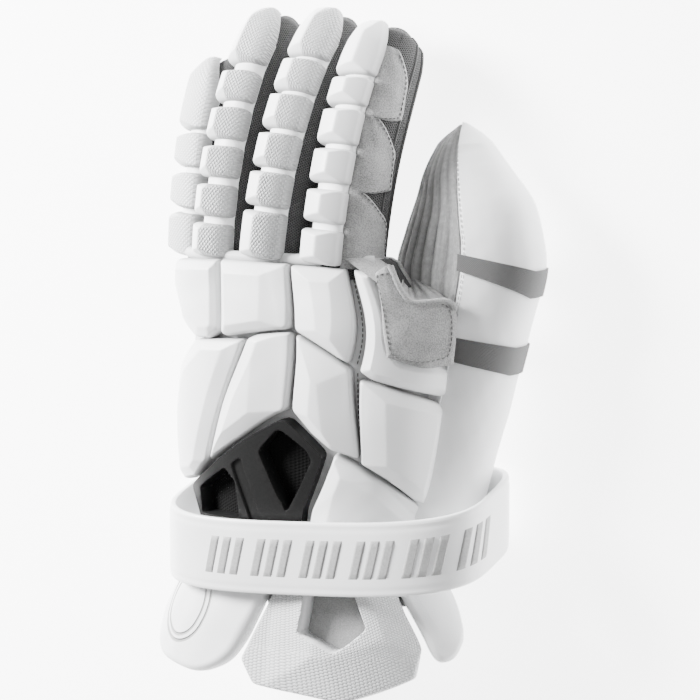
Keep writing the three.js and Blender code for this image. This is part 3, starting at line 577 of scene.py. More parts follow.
# %% Crossed relief: two families of slanted ridges whose lower one is taken, which leaves small diamonds
knurl, given, result = new_group(
    "crossed relief",
    [("Vector", VECTOR, None), ("Pitch", FLOAT, 0.16), ("Slant", FLOAT, 0.6)],
    [("Height", FLOAT)],
)
split = knurl.nodes.new("ShaderNodeSeparateXYZ")
link(knurl, given["Vector"], split.inputs[0])
ridges = []
for sign in (1, -1):
    slant = math_node(knurl, "MULTIPLY", given["Slant"], sign)
    slanted = math_node(knurl, "MULTIPLY", split.outputs[1], slant)
    run = math_node(knurl, "DIVIDE", math_node(knurl, "ADD", split.outputs[0], slanted), given["Pitch"])
    ridges.append(math_node(knurl, "MULTIPLY", math_node(knurl, "PINGPONG", run, 0.5), 2.0))
link(knurl, math_node(knurl, "SMOOTH_MIN", ridges[0], ridges[1], 0.15), result["Height"])

# %% Honeycomb relief: three waves at 120 degrees add up to a field of round bumps, or holes, in hexagons
honeycomb, given, result = new_group(
    "honeycomb relief",
    [("Vector", VECTOR, None), ("Pitch", FLOAT, 0.1)],
    [("Height", FLOAT)],
)
split = honeycomb.nodes.new("ShaderNodeSeparateXYZ")
link(honeycomb, given["Vector"], split.inputs[0])
waves = []
for degrees in (0, 60, 120):
    dx, dy = math.cos(math.radians(degrees)), math.sin(math.radians(degrees))
    run = math_node(honeycomb, "ADD", math_node(honeycomb, "MULTIPLY", split.outputs[0], dx),
                    math_node(honeycomb, "MULTIPLY", split.outputs[1], dy))
    turn = math_node(honeycomb, "MULTIPLY", math_node(honeycomb, "DIVIDE", run, given["Pitch"]), 2 * math.pi)
    waves.append(math_node(honeycomb, "COSINE", turn))
total = math_node(honeycomb, "ADD", math_node(honeycomb, "ADD", waves[0], waves[1]), waves[2])
link(honeycomb, math_node(honeycomb, "MULTIPLY_ADD", total, 0.2222, 0.3333), result["Height"])


# %% [markdown]
# A finish starts from the shader that Blender calls Principled. Its plain numbers stay on its own sockets.
# Only what changes over the surface comes through nodes: the colour between two tones, the roughness, and
# the bump.

# %% A finish
class Finish:
    """A material with its node tree, its shader and the vectors that patterns read."""

    def __init__(self, name, roughness, sheen=0.0, coat=0.0, specular=0.5):
        self.material = bpy.data.materials.new(name)
        self.material.use_nodes = True
        self.tree = self.material.node_tree
        self.shader = self.tree.nodes["Principled BSDF"]
        self.shader.inputs["Roughness"].default_value = roughness
        self.shader.inputs["Sheen Weight"].default_value = sheen
        self.shader.inputs["Coat Weight"].default_value = coat
        self.shader.inputs["Specular IOR Level"].default_value = specular
        coordinates = self.tree.nodes.new("ShaderNodeTexCoord")
        self.place, self.plan = coordinates.outputs["Object"], coordinates.outputs["UV"]

    def math(self, operation, *values):
        return math_node(self.tree, operation, *values)

    def noise(self, scale, detail=2.0, vector=None):
        return noise_node(self.tree, vector or self.place, scale, detail)

    def group(self, tree, vector, **values):
        """A shared effect, placed with this finish's own values."""
        node = self.tree.nodes.new("ShaderNodeGroup")
        node.node_tree = tree
        link(self.tree, vector, node.inputs["Vector"])
        for label, value in values.items():
            node.inputs[label].default_value = value
        return node.outputs

    def mark(self, name):
        """A number that the mesh carries at each point."""
        node = self.tree.nodes.new("ShaderNodeAttribute")
        node.attribute_name = name
        return node.outputs["Fac"]

    def stretched(self, vector, scale, shift=(0, 0, 0)):
        """A vector whose pattern is finer along some axes than along others."""
        node = self.tree.nodes.new("ShaderNodeMapping")
        node.inputs["Scale"].default_value = scale
        node.inputs["Location"].default_value = shift
        link(self.tree, vector, node.inputs["Vector"])
        return node.outputs[0]

    def between(self, share, low, high, start=0.3, stop=0.7):
        """A colour between two tones as a share goes from start to stop."""
        ramp = self.tree.nodes.new("ShaderNodeValToRGB")
        ramp.color_ramp.elements[0].position, ramp.color_ramp.elements[1].position = start, stop
        ramp.color_ramp.elements[0].color = (*low, 1)
        ramp.color_ramp.elements[1].color = (*high, 1)
        link(self.tree, share, ramp.inputs[0])
        return ramp.outputs[0]

    def mixed(self, share, low, high):
        """One colour or the other, or between them."""
        mix = self.tree.nodes.new("ShaderNodeMix")
        mix.data_type = "RGBA"
        link(self.tree, share, mix.inputs["Factor"])
        for socket, value in ((mix.inputs[6], low), (mix.inputs[7], high)):
            if isinstance(value, tuple):
                socket.default_value = (*value, 1)
            else:
                link(self.tree, value, socket)
        return mix.outputs[2]

    def oval(self, centre, half, width):
        """A mask of an oval line in the plan: one on it, zero beside it. width is a share of the oval."""
        scale = (1 / half[0], 1 / half[1], 0)
        placed = self.stretched(self.plan, scale, (-centre[0] * scale[0], -centre[1] * scale[1], 0))
        node = self.tree.nodes.new("ShaderNodeVectorMath")
        node.operation = "LENGTH"
        link(self.tree, placed, node.inputs[0])
        off = self.math("ABSOLUTE", self.math("SUBTRACT", node.outputs["Value"], 1.0))
        spread = self.tree.nodes.new("ShaderNodeMapRange")
        spread.interpolation_type = "SMOOTHSTEP"
        spread.inputs["From Min"].default_value, spread.inputs["From Max"].default_value = width, width / 3
        link(self.tree, off, spread.inputs["Value"])
        return spread.outputs[0]

    def colour(self, socket):
        link(self.tree, socket, self.shader.inputs["Base Color"])
        return self

    def rough(self, share, low, high):
        """Roughness between two values."""
        spread = self.tree.nodes.new("ShaderNodeMapRange")
        spread.inputs["To Min"].default_value, spread.inputs["To Max"].default_value = low, high
        link(self.tree, share, spread.inputs["Value"])
        link(self.tree, spread.outputs[0], self.shader.inputs["Roughness"])
        return self

    def bump(self, height, millimetres, strength=1.0):
        """Relief whose full height is given in millimetres."""
        node = self.tree.nodes.new("ShaderNodeBump")
        node.inputs["Strength"].default_value = strength
        node.inputs["Distance"].default_value = millimetres * MM
        link(self.tree, height, node.inputs["Height"])
        link(self.tree, node.outputs[0], self.shader.inputs["Normal"])
        return self


def grey(value, warm=0.0):
    """A near neutral tone; a little warm or, below zero, cool."""
    return (value * (1 + warm), value, value * (1 - warm))


# %% White leather, smooth or knurled where a pad is marked so, with painted shade on the knurled facets
def white_leather(name, tone, crease, size, roughness, ovals=()):
    leather = Finish(name, roughness, specular=0.45)
    pebble = leather.group(grain, leather.place, Size=size, Crease=crease)
    crossed = leather.group(knurl, leather.plan, Pitch=0.155, Slant=0.7)["Height"]
    knurled = leather.mark("knurl")
    shade = leather.between(pebble["Tone"], grey(tone * 0.965, -0.008), grey(tone, -0.004))
    # painted shade: the knurled facets, which face away from the lamp, are darkened
    shade = leather.mixed(leather.math("MULTIPLY", knurled, 0.6), shade, grey(tone * 0.5, -0.01))
    # painted shade: the valleys between the knurl's diamonds are darkened further
    valley_shade = leather.math("MULTIPLY", leather.math("SUBTRACT", 1.0, crossed), knurled)
    shade = leather.mixed(leather.math("MULTIPLY", valley_shade, 0.6), shade, grey(tone * 0.4, -0.01))
    # painted shade: the leather darkens towards each pad's outline, where it meets its seam
    shade = leather.mixed(leather.math("MULTIPLY", leather.mark("edge"), 0.75), shade, grey(tone * 0.3))
    leather.rough(pebble["Tone"], roughness - 0.05, roughness + 0.08)
    relief = leather.math("MULTIPLY", pebble["Height"], 0.25)
    relief = leather.math("MULTIPLY_ADD", leather.math("MULTIPLY", crossed, knurled), 1.3, relief)
    for centre, half, width in ovals:
        line = leather.math("MULTIPLY", leather.oval(centre, half, width), leather.mark("top"))
        # painted shade: the pressed oval lines are darkened as well as sunk
        shade = leather.mixed(leather.math("MULTIPLY", line, 0.85), shade, grey(tone * 0.3))
        relief = leather.math("MULTIPLY_ADD", line, -3.0, relief)
    leather.colour(shade)
    leather.bump(relief, 0.35)
    return leather.material


WHITE = white_leather("white leather", 0.86, 0.5, 900.0, 0.42)
BACKING = white_leather("white backing leather", 0.6, 0.9, 700.0, 0.55)
RING = (3.97, -4.5)  # the middle of the flap's oval in its plan, in centimetres
FLAP_WHITE = white_leather("white leather with an oval", 0.86, 0.5, 900.0, 0.42,
                           ((RING, (1.45, 2.1), 0.055), (RING, (1.17, 1.77), 0.06)))

# %% Moulded foam of the cuff's tongue: honeycomb bumps over its whole face, set wider at its lower end
moulded = Finish("moulded foam", 0.5, specular=0.4)
coarse = moulded.group(honeycomb, moulded.plan, Pitch=0.11)["Height"]
close_set = moulded.group(honeycomb, moulded.plan, Pitch=0.135)["Height"]
low_down = moulded.mark("knurl")
bumps = moulded.math("ADD", moulded.math("MULTIPLY", close_set, low_down),
                     moulded.math("MULTIPLY", coarse, moulded.math("SUBTRACT", 1.0, low_down)))
# painted shade: the moulding is darker in the hollows between its bumps
moulded.colour(moulded.between(bumps, grey(0.48, -0.01), grey(0.68, -0.006), 0.05, 0.45))
moulded.bump(moulded.math("MINIMUM", bumps, 0.5), 0.4)
MOULDED = moulded.material

# %% Smooth moulded strap, and the paint of the raised bars on it
rubber = Finish("moulded strap", 0.38, coat=0.15, specular=0.5)
drift = rubber.group(grain, rubber.place, Size=1500.0, Crease=0.3)
rubber.colour(rubber.between(drift["Tone"], grey(0.82, -0.006), grey(0.88, -0.004)))
rubber.bump(drift["Height"], 0.05)
RUBBER = rubber.material
painted = Finish("grey bars", 0.5)
speck = painted.noise(900.0)
painted.colour(painted.between(speck, grey(0.3), grey(0.38)))
painted.bump(speck, 0.06)
BARS = painted.material

# %% Suede: a short nap that catches the light in patches
def suede_finish(name, dark, light):
    suede = Finish(name, 0.92, sheen=0.35, specular=0.2)
    nap = suede.noise(1500.0, 4.0)
    brushed = suede.noise(90.0, 3.0)
    mixed = suede.math("MULTIPLY_ADD", brushed, 0.35, suede.math("MULTIPLY", nap, 0.7))
    suede.colour(suede.between(mixed, grey(dark), grey(light), 0.38, 0.66))
    suede.bump(nap, 0.22)
    return suede.material


SUEDE = suede_finish("grey suede", 0.17, 0.36)
LINING = suede_finish("grey lining", 0.2, 0.3)

# %% Knit: fine ribs along the piece, each a little uneven, with painted shade in the valleys of its folds
stretch = Finish("grey knit", 0.95, sheen=0.3, specular=0.2)
columns = stretch.noise(3.0, 1.0, stretch.stretched(stretch.plan, (9.0, 0.3, 1.0)))
ribs = stretch.math("PINGPONG", stretch.math("DIVIDE", columns, 0.09), 0.5)
fleck = stretch.noise(420.0, 3.0)
knitted = stretch.between(stretch.math("MULTIPLY_ADD", ribs, 0.5, stretch.math("MULTIPLY", fleck, 0.6)),
                          grey(0.34), grey(0.56), 0.3, 0.7)
# painted shade: the fold mark darkens the knit in the valleys of its folds
stretch.colour(stretch.mixed(stretch.math("MULTIPLY", stretch.mark("fold"), 0.9), knitted, grey(0.1)))
stretch.bump(stretch.math("ADD", ribs, fleck), 0.25)
KNIT = stretch.material

# %% Meshes: dark cloth with a fine pattern of holes, and the open black net behind the vent
def mesh_finish(name, thread, hole, pitch, sheen):
    net = Finish(name, 0.9, sheen=sheen, specular=0.15)
    cells = net.group(honeycomb, net.plan, Pitch=pitch)["Height"]
    drift = net.noise(60.0, 3.0)
    tone = net.mixed(net.math("MULTIPLY", drift, 0.6), grey(thread), grey(thread * 1.5))
    holes = net.math("SMOOTH_MIN", net.math("MULTIPLY", cells, 1.6), 1.0, 0.1)
    net.colour(net.mixed(holes, tone, grey(hole)))
    net.bump(net.math("SUBTRACT", 1.0, cells), 0.3)
    return net.material


MESH = mesh_finish("dark mesh", 0.072, 0.01, 0.11, 0.1)
NET = mesh_finish("black net", 0.0015, 0.0005, 0.14, 0.0)

# %% Elastic: cross ribs, and satin plastic with a fine moulded grain
elastic = Finish("woven elastic", 0.8, sheen=0.3)
cross = elastic.group(knurl, elastic.plan, Pitch=0.09, Slant=0.9)["Height"]
elastic.colour(elastic.between(cross, grey(0.055), grey(0.13), 0.1, 0.8))
elastic.bump(cross, 0.2)
ELASTIC = elastic.material


def plastic_finish(name, dark, light):
    plastic = Finish(name, 0.4, specular=0.25)
    fine = plastic.noise(1400.0, 3.0)
    plastic.colour(plastic.between(fine, grey(dark), grey(light)))
    plastic.rough(fine, 0.36, 0.48)
    plastic.bump(fine, 0.04)
    return plastic.material


PLASTIC = plastic_finish("satin plastic", 0.005, 0.009)
# painted highlight: a lighter copy of the plastic for the vent's rounded edges
EDGE_HIGHLIGHT = plastic_finish("satin plastic edge", 0.1, 0.14)

# %% Thread and piping
def thread_finish(name, dark, light):
    cord = Finish(name, 0.7, sheen=0.2)
    twist = cord.noise(1600.0)
    cord.colour(cord.between(twist, grey(dark), grey(light)))
    cord.bump(twist, 0.1)
    return cord.material


THREAD = thread_finish("dark grey thread", 0.06, 0.14)
PALE_THREAD = thread_finish("pale grey thread", 0.3, 0.42)
PIPING = thread_finish("black piping", 0.012, 0.03)
print("finishes:", len(bpy.data.materials))

# %% [markdown]
# ## The finger pads
# Six small pads cover the index, middle and ring fingers and four the little finger. Each one has a ridge
# along it. On the middle and ring fingers the facet on the thumb's side is knurled for grip, on the little
# finger the whole pad is, and on the index finger the pads stay smooth. The knurled parts are painted
# darker, as shade. The last pad of each finger narrows over the tip.

# %% Where a finger pad lies
def crown_top(name, share, across):
    """Height of a finger's tube above its centre line at a distance to its side."""
    half, rise, out, drop = tube_axes(name, share, 0)
    ratio = np.minimum(np.abs(across - out) / half, 0.97)
    return rise * (1 - ratio**TUBE_ROUND) ** (1 / TUBE_ROUND) - drop


def on_finger(name):
    """The plan of a finger's pads laid on its tube: x across and y along it, out above the tube. Higher up
    the surface follows the round tube less, so that a pad's top is flatter than the finger."""
    length = FINGERS[name][7] * FINGER_LENGTH

    def surface(x, y, out):
        share = y / length
        corner, crown = crown_top(name, share, x), crown_top(name, share, 0 * x)
        flat = 0.65 * np.clip((out - PAD_LOW) / FINGER_PAD, 0, 1)
        return finger_point(name, share, x, corner + (crown - corner) * flat + out)

    return surface


def narrowing(share):
    """The strips under the pads narrow towards the tip."""
    return 1 - 0.42 * np.clip((share - 0.82) / 0.16, 0, 1) ** 2


FINGER_ROLL, FINGER_FACET, FINGER_SKIRT = 1.3, 0.78, 0.16
MORE, MORE_AT_TIP = 0.35, 2.0  # how far a pad goes on past its place, and the last one at its tip
# ridge: where the ridge lies across the pad; knurled: what share of the width carries the relief and its
# painted shade
PAD_LOOK = {"index": (0.58, 0), "middle": (0.46, 0.52), "ring": (0.42, 0.58), "pinky": (0.42, 1)}


def finger_pad(name, k):
    """A pad whose height is the least of five slopes: two long ones that meet in its ridge, and short steep
    ones at the far side and at both ends."""
    start, stop = FINGER_PADS[name][k]
    length = FINGERS[name][7] * FINGER_LENGTH
    half = FINGER_PAD_WIDTH / 2 * TUBES[name][4]
    is_tip = k == len(FINGER_PADS[name]) - 1
    low, high = start * length - MORE, stop * length + (MORE_AT_TIP if is_tip else MORE)
    ridge_at, knurled = PAD_LOOK[name]
    ridge = -half + 2 * half * ridge_at

    def tip_share(along):
        """A tip pad narrows to a round end."""
        return 1 - 0.64 * np.clip(((along - low) / (high - low) - 0.25) / 0.75, 0, 1) ** 2.4 if is_tip else 1

    if is_tip:
        reach = steps(9, low, high)
        edge = half * tip_share(reach)
        corners = np.concatenate([np.stack([edge, reach], -1), np.stack([-edge, reach], -1)[::-1]])
        outline = rounded(corners, 4.6, 0.7)
    else:
        corners = np.array([[-half, low], [half, low], [half, high], [-half, high]])
        outline = rounded(corners, 1.9, 0.7)

    def facets(flat):
        along = flat[:, 1]
        across = flat[:, 0] / tip_share(along)
        rises = [
            (half - across) / (half - ridge) * 0.97 + 0.03,
            (across + half) / (half + ridge) * 0.55 + 0.45,
            (across + half) / 3.4 + 0.1,
            (along - low) / 4.4 + 0.1,
            (high - along) / (15.0 if is_tip else 3.4) + 0.2,
        ]
        soft = 26
        total = sum(np.exp(-soft * rise) for rise in rises) + math.exp(-soft)
        return np.clip(-np.log(total) / soft, 0, 1)

    def mark(flat):
        if not knurled:
            return 0 * flat[:, 0]
        # the mark sets both the knurl's relief and the shade painted on the knurled facet
        depth = 0.5 if knurled == 1 else 1
        return depth * np.clip((flat[:, 0] - (half - 2 * half * knurled)) / 1.5 + 0.5, 0, 1)

    seed = 10 * list(FINGERS).index(name) + k
    return foam_pad(f"{name}_foam_{k + 1}", outline, on_finger(name), PAD_LOW, FINGER_PAD, WHITE,
                    "white_leather", facets, rings=24, roll=FINGER_ROLL, facet=FINGER_FACET, puff=0.06,
                    seed=seed, mark=mark, skirt=FINGER_SKIRT)


for finger_name, places in FINGER_PADS.items():
    for number in range(len(places)):
        pad = finger_pad(finger_name, number)
        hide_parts(f"{finger_name}_pad_{number + 1}")
print("finger pads:", sum(len(places) for places in FINGER_PADS.values()))

# %% [markdown]
# ## The strips under the finger pads
# The pads of one finger are moulded in one row, so a lower white strip bridges each gap between them. The
# strip is a little narrower than the pads, and rises and sinks gently from gap to gap.

# %% Strips
def finger_strip(name):
    """A low crowned strip from the first pad into the last one, lower and narrower in each gap."""
    length = FINGERS[name][7] * FINGER_LENGTH
    places = FINGER_PADS[name]
    half = FINGER_PAD_WIDTH / 2 * TUBES[name][4]
    under_tip = 0.4  # the strip ends under the last pad, at this share of it
    stop = (1 - under_tip) * places[-1][0] + under_tip * places[-1][1]
    share = steps(150, places[0][0] + 0.01, stop)[:, None]
    side = steps(19, -1, 1)[None]
    gaps = [(a[1] + b[0]) / 2 for a, b in zip(places, places[1:])]
    neck = sum(np.exp(-(((share - gap) * length) / 3.2) ** 2) for gap in gaps)
    lean = 0.05 + 0.04 * neck
    across = (side * (0.88 - 0.06 * neck) + lean) * half * narrowing(share)
    roll_over = (1 - np.abs(side) ** 3) ** 0.5
    out = BACK_HIGH + (2.6 - 0.5 * neck) * roll_over
    low = finger_point(name, share + 0 * side, across, crown_top(name, share, across) + BACK_LOW)
    top = finger_point(name, share + 0 * side, across, crown_top(name, share, across) + out)
    uv = plan_of(across, share * length) / 10
    strip = shell(f"{name}_strip", low, top, WHITE, "white_backing", uv)
    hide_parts(f"{name}_backing")


for finger_name in FINGERS:
    finger_strip(finger_name)

# %% [markdown]
# ## The pads on the back of the hand
# Nine larger pads cover the back. Their outlines were read from the photograph as places over and along the
# back of the hand. For each side of an outline, a number says how wide the slope beside it is. The bent pad
# beside the saddle has no such numbers: it rises evenly from its edge to a plateau.

# %% Back pads
# outline corners (over the back, along it), slope widths in millimetres, middle where the shape needs one
BACK_PADS = {
    "knuckle_pad_pinky": (
        [(0.1, 0.972), (0.353, 0.982), (0.346, 0.729), (0.305, 0.693),
         (0.248, 0.69), (0.16, 0.749), (0.085, 0.873)],
        [5, 4, 4, 6, 8, 9, 9], None),
    "knuckle_pad_middle": (
        [(0.362, 0.984), (0.542, 0.976), (0.514, 0.747), (0.36, 0.707), (0.35, 0.729)],
        [7, 9, 5, 3, 4], None),
    "knuckle_pad_index": (
        [(0.55, 0.972), (0.715, 0.965), (0.645, 0.637), (0.622, 0.652), (0.529, 0.738), (0.526, 0.755)],
        [8, 9, 3, 6, 3, 9], None),
    "web_pad": (
        [(0.738, 0.962), (0.803, 0.955), (0.79, 0.86), (0.76, 0.71), (0.785, 0.655),
         (0.938, 0.625), (0.936, 0.512), (0.779, 0.556), (0.705, 0.582), (0.673, 0.61)],
        None, (0.735, 0.63)),
    "back_pad_pinky": (
        [(0.245, 0.684), (0.416, 0.7), (0.361, 0.479), (0.295, 0.235), (0.235, 0.165),
         (0.1, 0.13), (0.085, 0.25), (0.09, 0.42), (0.135, 0.56)],
        [5, 7, 7, 5, 6, 9, 12, 12, 9], None),
    "back_pad_middle": (
        [(0.425, 0.704), (0.45, 0.72), (0.517, 0.735), (0.511, 0.459),
         (0.412, 0.343), (0.306, 0.238), (0.364, 0.479)],
        [4, 4, 12, 7, 7, 5, 6], None),
    "back_pad_index": (
        [(0.527, 0.728), (0.65, 0.617), (0.679, 0.294), (0.609, 0.322), (0.565, 0.379), (0.522, 0.459)],
        [13, 13, 5, 4, 5, 7], None),
    "back_pad_thumb": (
        [(0.674, 0.58), (0.918, 0.494), (0.93, 0.46), (0.887, 0.128), (0.852, 0.14), (0.684, 0.274)],
        [6, 3, 5, 3, 7, 12], None),
    "wrist_pad": (
        [(0.618, 0.304), (0.676, 0.264), (0.716, 0.224), (0.876, 0.12),
         (0.878, -0.03), (0.56, -0.03), (0.57, 0.09)],
        [5, 5, 6, 8, 8, 8, 6], None),
}


BACK_PLAN = np.array([ROUND_UNIT, PALM_LENGTH])  # millimetres of the back's flat plan
BACK_ROLL, BACK_FACET, BACK_PUFF = 1.5, 0.48, 0.18


def back_pad(name, corners, widths, middle):
    """A pad that reaches a little over its outline, so that it nearly touches the pads beside it."""
    edge = inset(np.array(corners) * BACK_PLAN, -GAP / 5)
    outline = rounded(edge, 1.7, 0.9)
    facets = None if widths is None else lambda flat: facet_shares(flat, edge, widths)
    centre = None if middle is None else np.array(middle) * BACK_PLAN
    foam = foam_pad(name.replace("pad", "foam"), outline, back_point, PAD_LOW, PAD, WHITE, "white_leather",
                    facets, centre, rings=42, roll=BACK_ROLL, facet=BACK_FACET, puff=BACK_PUFF,
                    seed=len(name))
    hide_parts(name)


for pad_name, (corners, widths, middle) in BACK_PADS.items():
    back_pad(pad_name, corners, widths, middle)

# %% [markdown]
# ## The hand under the pads
# A white backing leather lies over the back of the hand, under the pads, and is open under the vent. Below
# it the glove is a shell in two halves: dark mesh over the back and suede under the palm. Each half is an
# outer and an inner surface, joined round their rims, so that the wrist is truly open.

# %% Backing leather, and the hole in it for the vent
def patch(corners, low, high, drawn_in=0.0):
    """Points, faces and plan of a closed sheet in an outline, between two heights over the hand's back.
    Its rings run from the middle of its underside to its edge, and back in to the middle of its top."""
    edge = rounded(inset(np.array(corners) * BACK_PLAN, drawn_in), 2.5, 1.6)
    centre, rings, innermost = edge.mean(0), 12, 0.95
    inward = np.concatenate([steps(rings, innermost, 0.0), steps(rings, 0.0, innermost)])
    out = np.repeat([low, high], rings)
    flat = edge[None] + (centre - edge)[None] * inward[:, None, None]
    flat = np.concatenate([flat.reshape(-1, 2), [centre, centre]])
    out = np.concatenate([np.repeat(out, len(edge)), [low, high]])
    points = back_point(flat[:, 0], flat[:, 1], out)
    bottom = fan(len(edge), len(flat) - 2)
    top = fan(len(edge), len(flat) - 1, (2 * rings - 1) * len(edge), True)
    return points, np.concatenate([bottom, quads(2 * rings, len(edge), 0, True)[:, ::-1], top]), flat


def cut(target, tools):
    """Cuts closed tools out of a piece with Blender's exact solver, and removes them."""
    for tool in tools:
        modifier = target.modifiers.new("cut", "BOOLEAN")
        modifier.operation, modifier.solver, modifier.object = "DIFFERENCE", "EXACT", tool
    bpy.context.view_layer.update()
    cut_mesh = bpy.data.meshes.new_from_object(target.evaluated_get(bpy.context.evaluated_depsgraph_get()))
    target.modifiers.clear()
    target.data = cut_mesh
    for tool in tools:
        made.pop(tool.name, None)
        bpy.data.objects.remove(tool)


def tool_from(name, points, faces):
    """A closed tool, which cut() removes once it has cut."""
    return piece(name, points, faces, BACKING, "white_backing")


VENT_EDGE = [
    (0.51, 0.44), (0.6, 0.3), (0.558, 0.09), (0.55, -0.03),
    (0.25, -0.03), (0.2, 0.13), (0.305, 0.22), (0.4, 0.325),
]
left_edge = np.interp(steps(110), [0, 0.33, 1], [0.1, 0.06, 0.06])
right_edge = np.interp(steps(110), [0, 0.12, 0.63, 0.965, 1], [0.88, 0.9, 0.9, 0.85, 0.8])
along = steps(110, -0.02, 0.99)[:, None] * PALM_LENGTH
across = (left_edge + (right_edge - left_edge) * steps(120)[:, None]).T * ROUND_UNIT
plan = stack(across, along, 0 * across)
pucker = 0.25 * soft_noise(plan, 9, 5) + 0.2 * soft_noise(plan, 26, 6)
backing_low = back_point(across, along, 0 * across + BACK_LOW)
backing_high = back_point(across, along, BACK_HIGH - 0.3 + pucker * 0.5)
backing = shell("back_leather", backing_low, backing_high, BACKING, "white_backing", plan[..., :2] / 10)
hole = tool_from("hole", *patch(VENT_EDGE, -3, 9, 4.5)[:2])
cut(backing, [hole])
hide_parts("back_panel")

# %% The two halves of the hand
def half_hand(name, side, finish, slot, node):
    """Half of the hand's shell: rings from the wrist to the knuckles, then closing to the front's middle."""
    at = np.concatenate([steps(110, -0.03, 0.985), np.full(12, 1.0)])
    close = np.concatenate([np.ones(110), steps(13)[::-1][1:] ** 0.6])[:, None]
    turns = side * np.pi * steps(90)[None]

    def skin(grow, shorter):
        points = hand_point(turns, np.minimum(at, 1.01)[:, None] - shorter / PALM_LENGTH, grow)
        middle = curve(HAND, 4, at)[:, None, None] * PALM_HEIGHT + side * CLEAR / 2
        centre = points.mean(1, keepdims=True)
        centre[..., 2:] = middle
        points = centre + (points - centre) * close[..., None]
        points[..., 2] = side * np.maximum(side * points[..., 2], side * middle[..., 0])
        return points

    outer = skin(0.0, 0.0)
    uneven = 0.35 * soft_noise(outer, 22, 3 + side)
    outer = outer + unit(outer - outer.mean(1, keepdims=True)) * uneven[..., None]
    run = at[:, None] * PALM_LENGTH
    uv = plan_of(np.abs(turns) * 42, run) / 10
    half = shell(name, skin(-LEATHER, LEATHER), outer, finish, slot, uv)
    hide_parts(node)


half_hand("palm_suede", -1, SUEDE, "grey_suede", "palm")
half_hand("hand_mesh", 1, MESH, "dark_mesh", "liner")

# %% [markdown]
# ## The finger tubes
# Each finger is a tube of suede below and dark mesh above. The two are sewn together along both sides in a
# rolled seam, which is made as a thin cord that follows the tube. Small folds run across the inside of the
# bends, where the cloth is pushed together.

# %% Finger tubes
def finger_half(name, side, finish, slot, node, piece_name):
    """The upper or lower half of a finger's tube, whose last rings shrink together and close its tip."""
    share = np.concatenate([steps(120, -0.04, 0.999), np.full(8, 1.0)])[:, None]
    close = np.concatenate([np.ones(120), steps(9)[::-1][1:] ** 0.6])[:, None, None]
    turns = side * np.pi * steps(48)[None]

    def skin(grow):
        reach = share * (1 + grow / (FINGERS[name][7] * FINGER_LENGTH))
        half, rise, out, drop = tube_axes(name, share, grow)
        across = out + half * bow(np.cos(turns), TUBE_ROUND)
        above = rise * bow(np.sin(turns), TUBE_ROUND)
        above = side * np.maximum(side * above, CLEAR / 2) - drop
        points = finger_point(name, reach + 0 * turns, across, above)
        middle = finger_point(name, reach, out + 0 * share, side * CLEAR / 2 - drop + 0 * share)
        return middle + (points - middle) * close

    outer = skin(0.0)
    fold = 0.5 * np.sin(share * 88 + 1.5 * np.sin(turns * 2)) * np.sin(np.abs(turns)) ** 2 * (side < 0)
    lift = fold + 0.3 * soft_noise(outer, 14, list(FINGERS).index(name) * 3 + side + 1)
    centre = outer.mean(1, keepdims=True)
    outer = outer + unit(outer - centre) * lift[..., None] * np.minimum(close, 1)
    girth = np.abs(turns) * 16
    uv = plan_of(girth, share * FINGER_LENGTH) / 10
    half = shell(piece_name, skin(-LEATHER), outer, finish, slot, uv)
    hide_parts(node)


for finger_name in FINGERS:
    finger_half(finger_name, -1, SUEDE, "grey_suede", f"{finger_name}_front", f"{finger_name}_suede")
    finger_half(finger_name, 1, MESH, "dark_mesh", f"{finger_name}_gusset", f"{finger_name}_mesh")

# %% Cords along a path
def cord_along(name, path, normals, radius, finish, slot, sides=10):
    """A round bead swept along a path. The path's own direction and the given normals frame each ring."""
    ahead = unit(np.gradient(path, axis=0))
    side = unit(np.cross(ahead, normals))
    above = np.cross(side, ahead)
    turns = 2 * np.pi * steps(sides + 1)[:-1]
    ring = side[:, None] * np.cos(turns)[None, :, None] + above[:, None] * np.sin(turns)[None, :, None]
    points = path[:, None] + ring * radius
    rows = len(path)
    run = run_along(path)
    uv = plan_of(turns[None] * radius, run[:, None]) / 10
    caps = [fan(sides, rows * sides, 0, True), fan(sides, rows * sides + 1, (rows - 1) * sides)]
    faces = np.concatenate([quads(rows, sides, 0, True), *caps])
    points, uv = points.reshape(-1, 3), uv.reshape(-1, 2)
    points = np.concatenate([points, path[:1], path[-1:]])
    uv = np.concatenate([uv, uv[:1], uv[-1:]])
    return piece(name, points, faces, finish, slot, uv, smooth_under=80)


def seam_on_finger(name, piece_name, turn, radius, finish, slot, lift=0.0, start=0.0, stop=0.985):
    """A bead along a finger's tube at one angle round it."""
    share = steps(90, start, stop)
    path = tube_point(name, share, np.full(90, turn), lift)
    return cord_along(piece_name, path, finger_frame(name, share)[2], radius, finish, slot)


for finger_name in FINGERS:
    for label, turn in (("thumb_side", 0.0), ("far_side", np.pi)):
        seam_on_finger(finger_name, f"{finger_name}_seam_{label}", turn, 0.9, PIPING, "dark_mesh", 0.2)
print("finger tubes:", len(FINGERS))

# %% The little finger's root
root_share, root_turns = steps(40, -0.3, 0.02)[:, None], 2 * np.pi * steps(65)[None, :-1]
sunk = np.clip(-root_share / 0.3, 0, 1)


def root_skin(grow):
    """The little finger leaves the hand low down, so its tube runs on into the palm and narrows there."""
    half, rise, out, drop = tube_axes("pinky", root_share, grow)
    slim = 1 - 0.45 * sunk
    across = out + 7 * sunk + half * slim * bow(np.cos(root_turns), TUBE_ROUND)
    above = rise * slim * bow(np.sin(root_turns), TUBE_ROUND) - drop
    return finger_point("pinky", root_share + 0 * root_turns, across, above)


uv = plan_of(root_turns * 1.6, root_share * FINGER_LENGTH / 10)
shell("pinky_root_suede", root_skin(-0.3 - LEATHER), root_skin(-0.3), SUEDE, "grey_suede", uv, wrap=True)

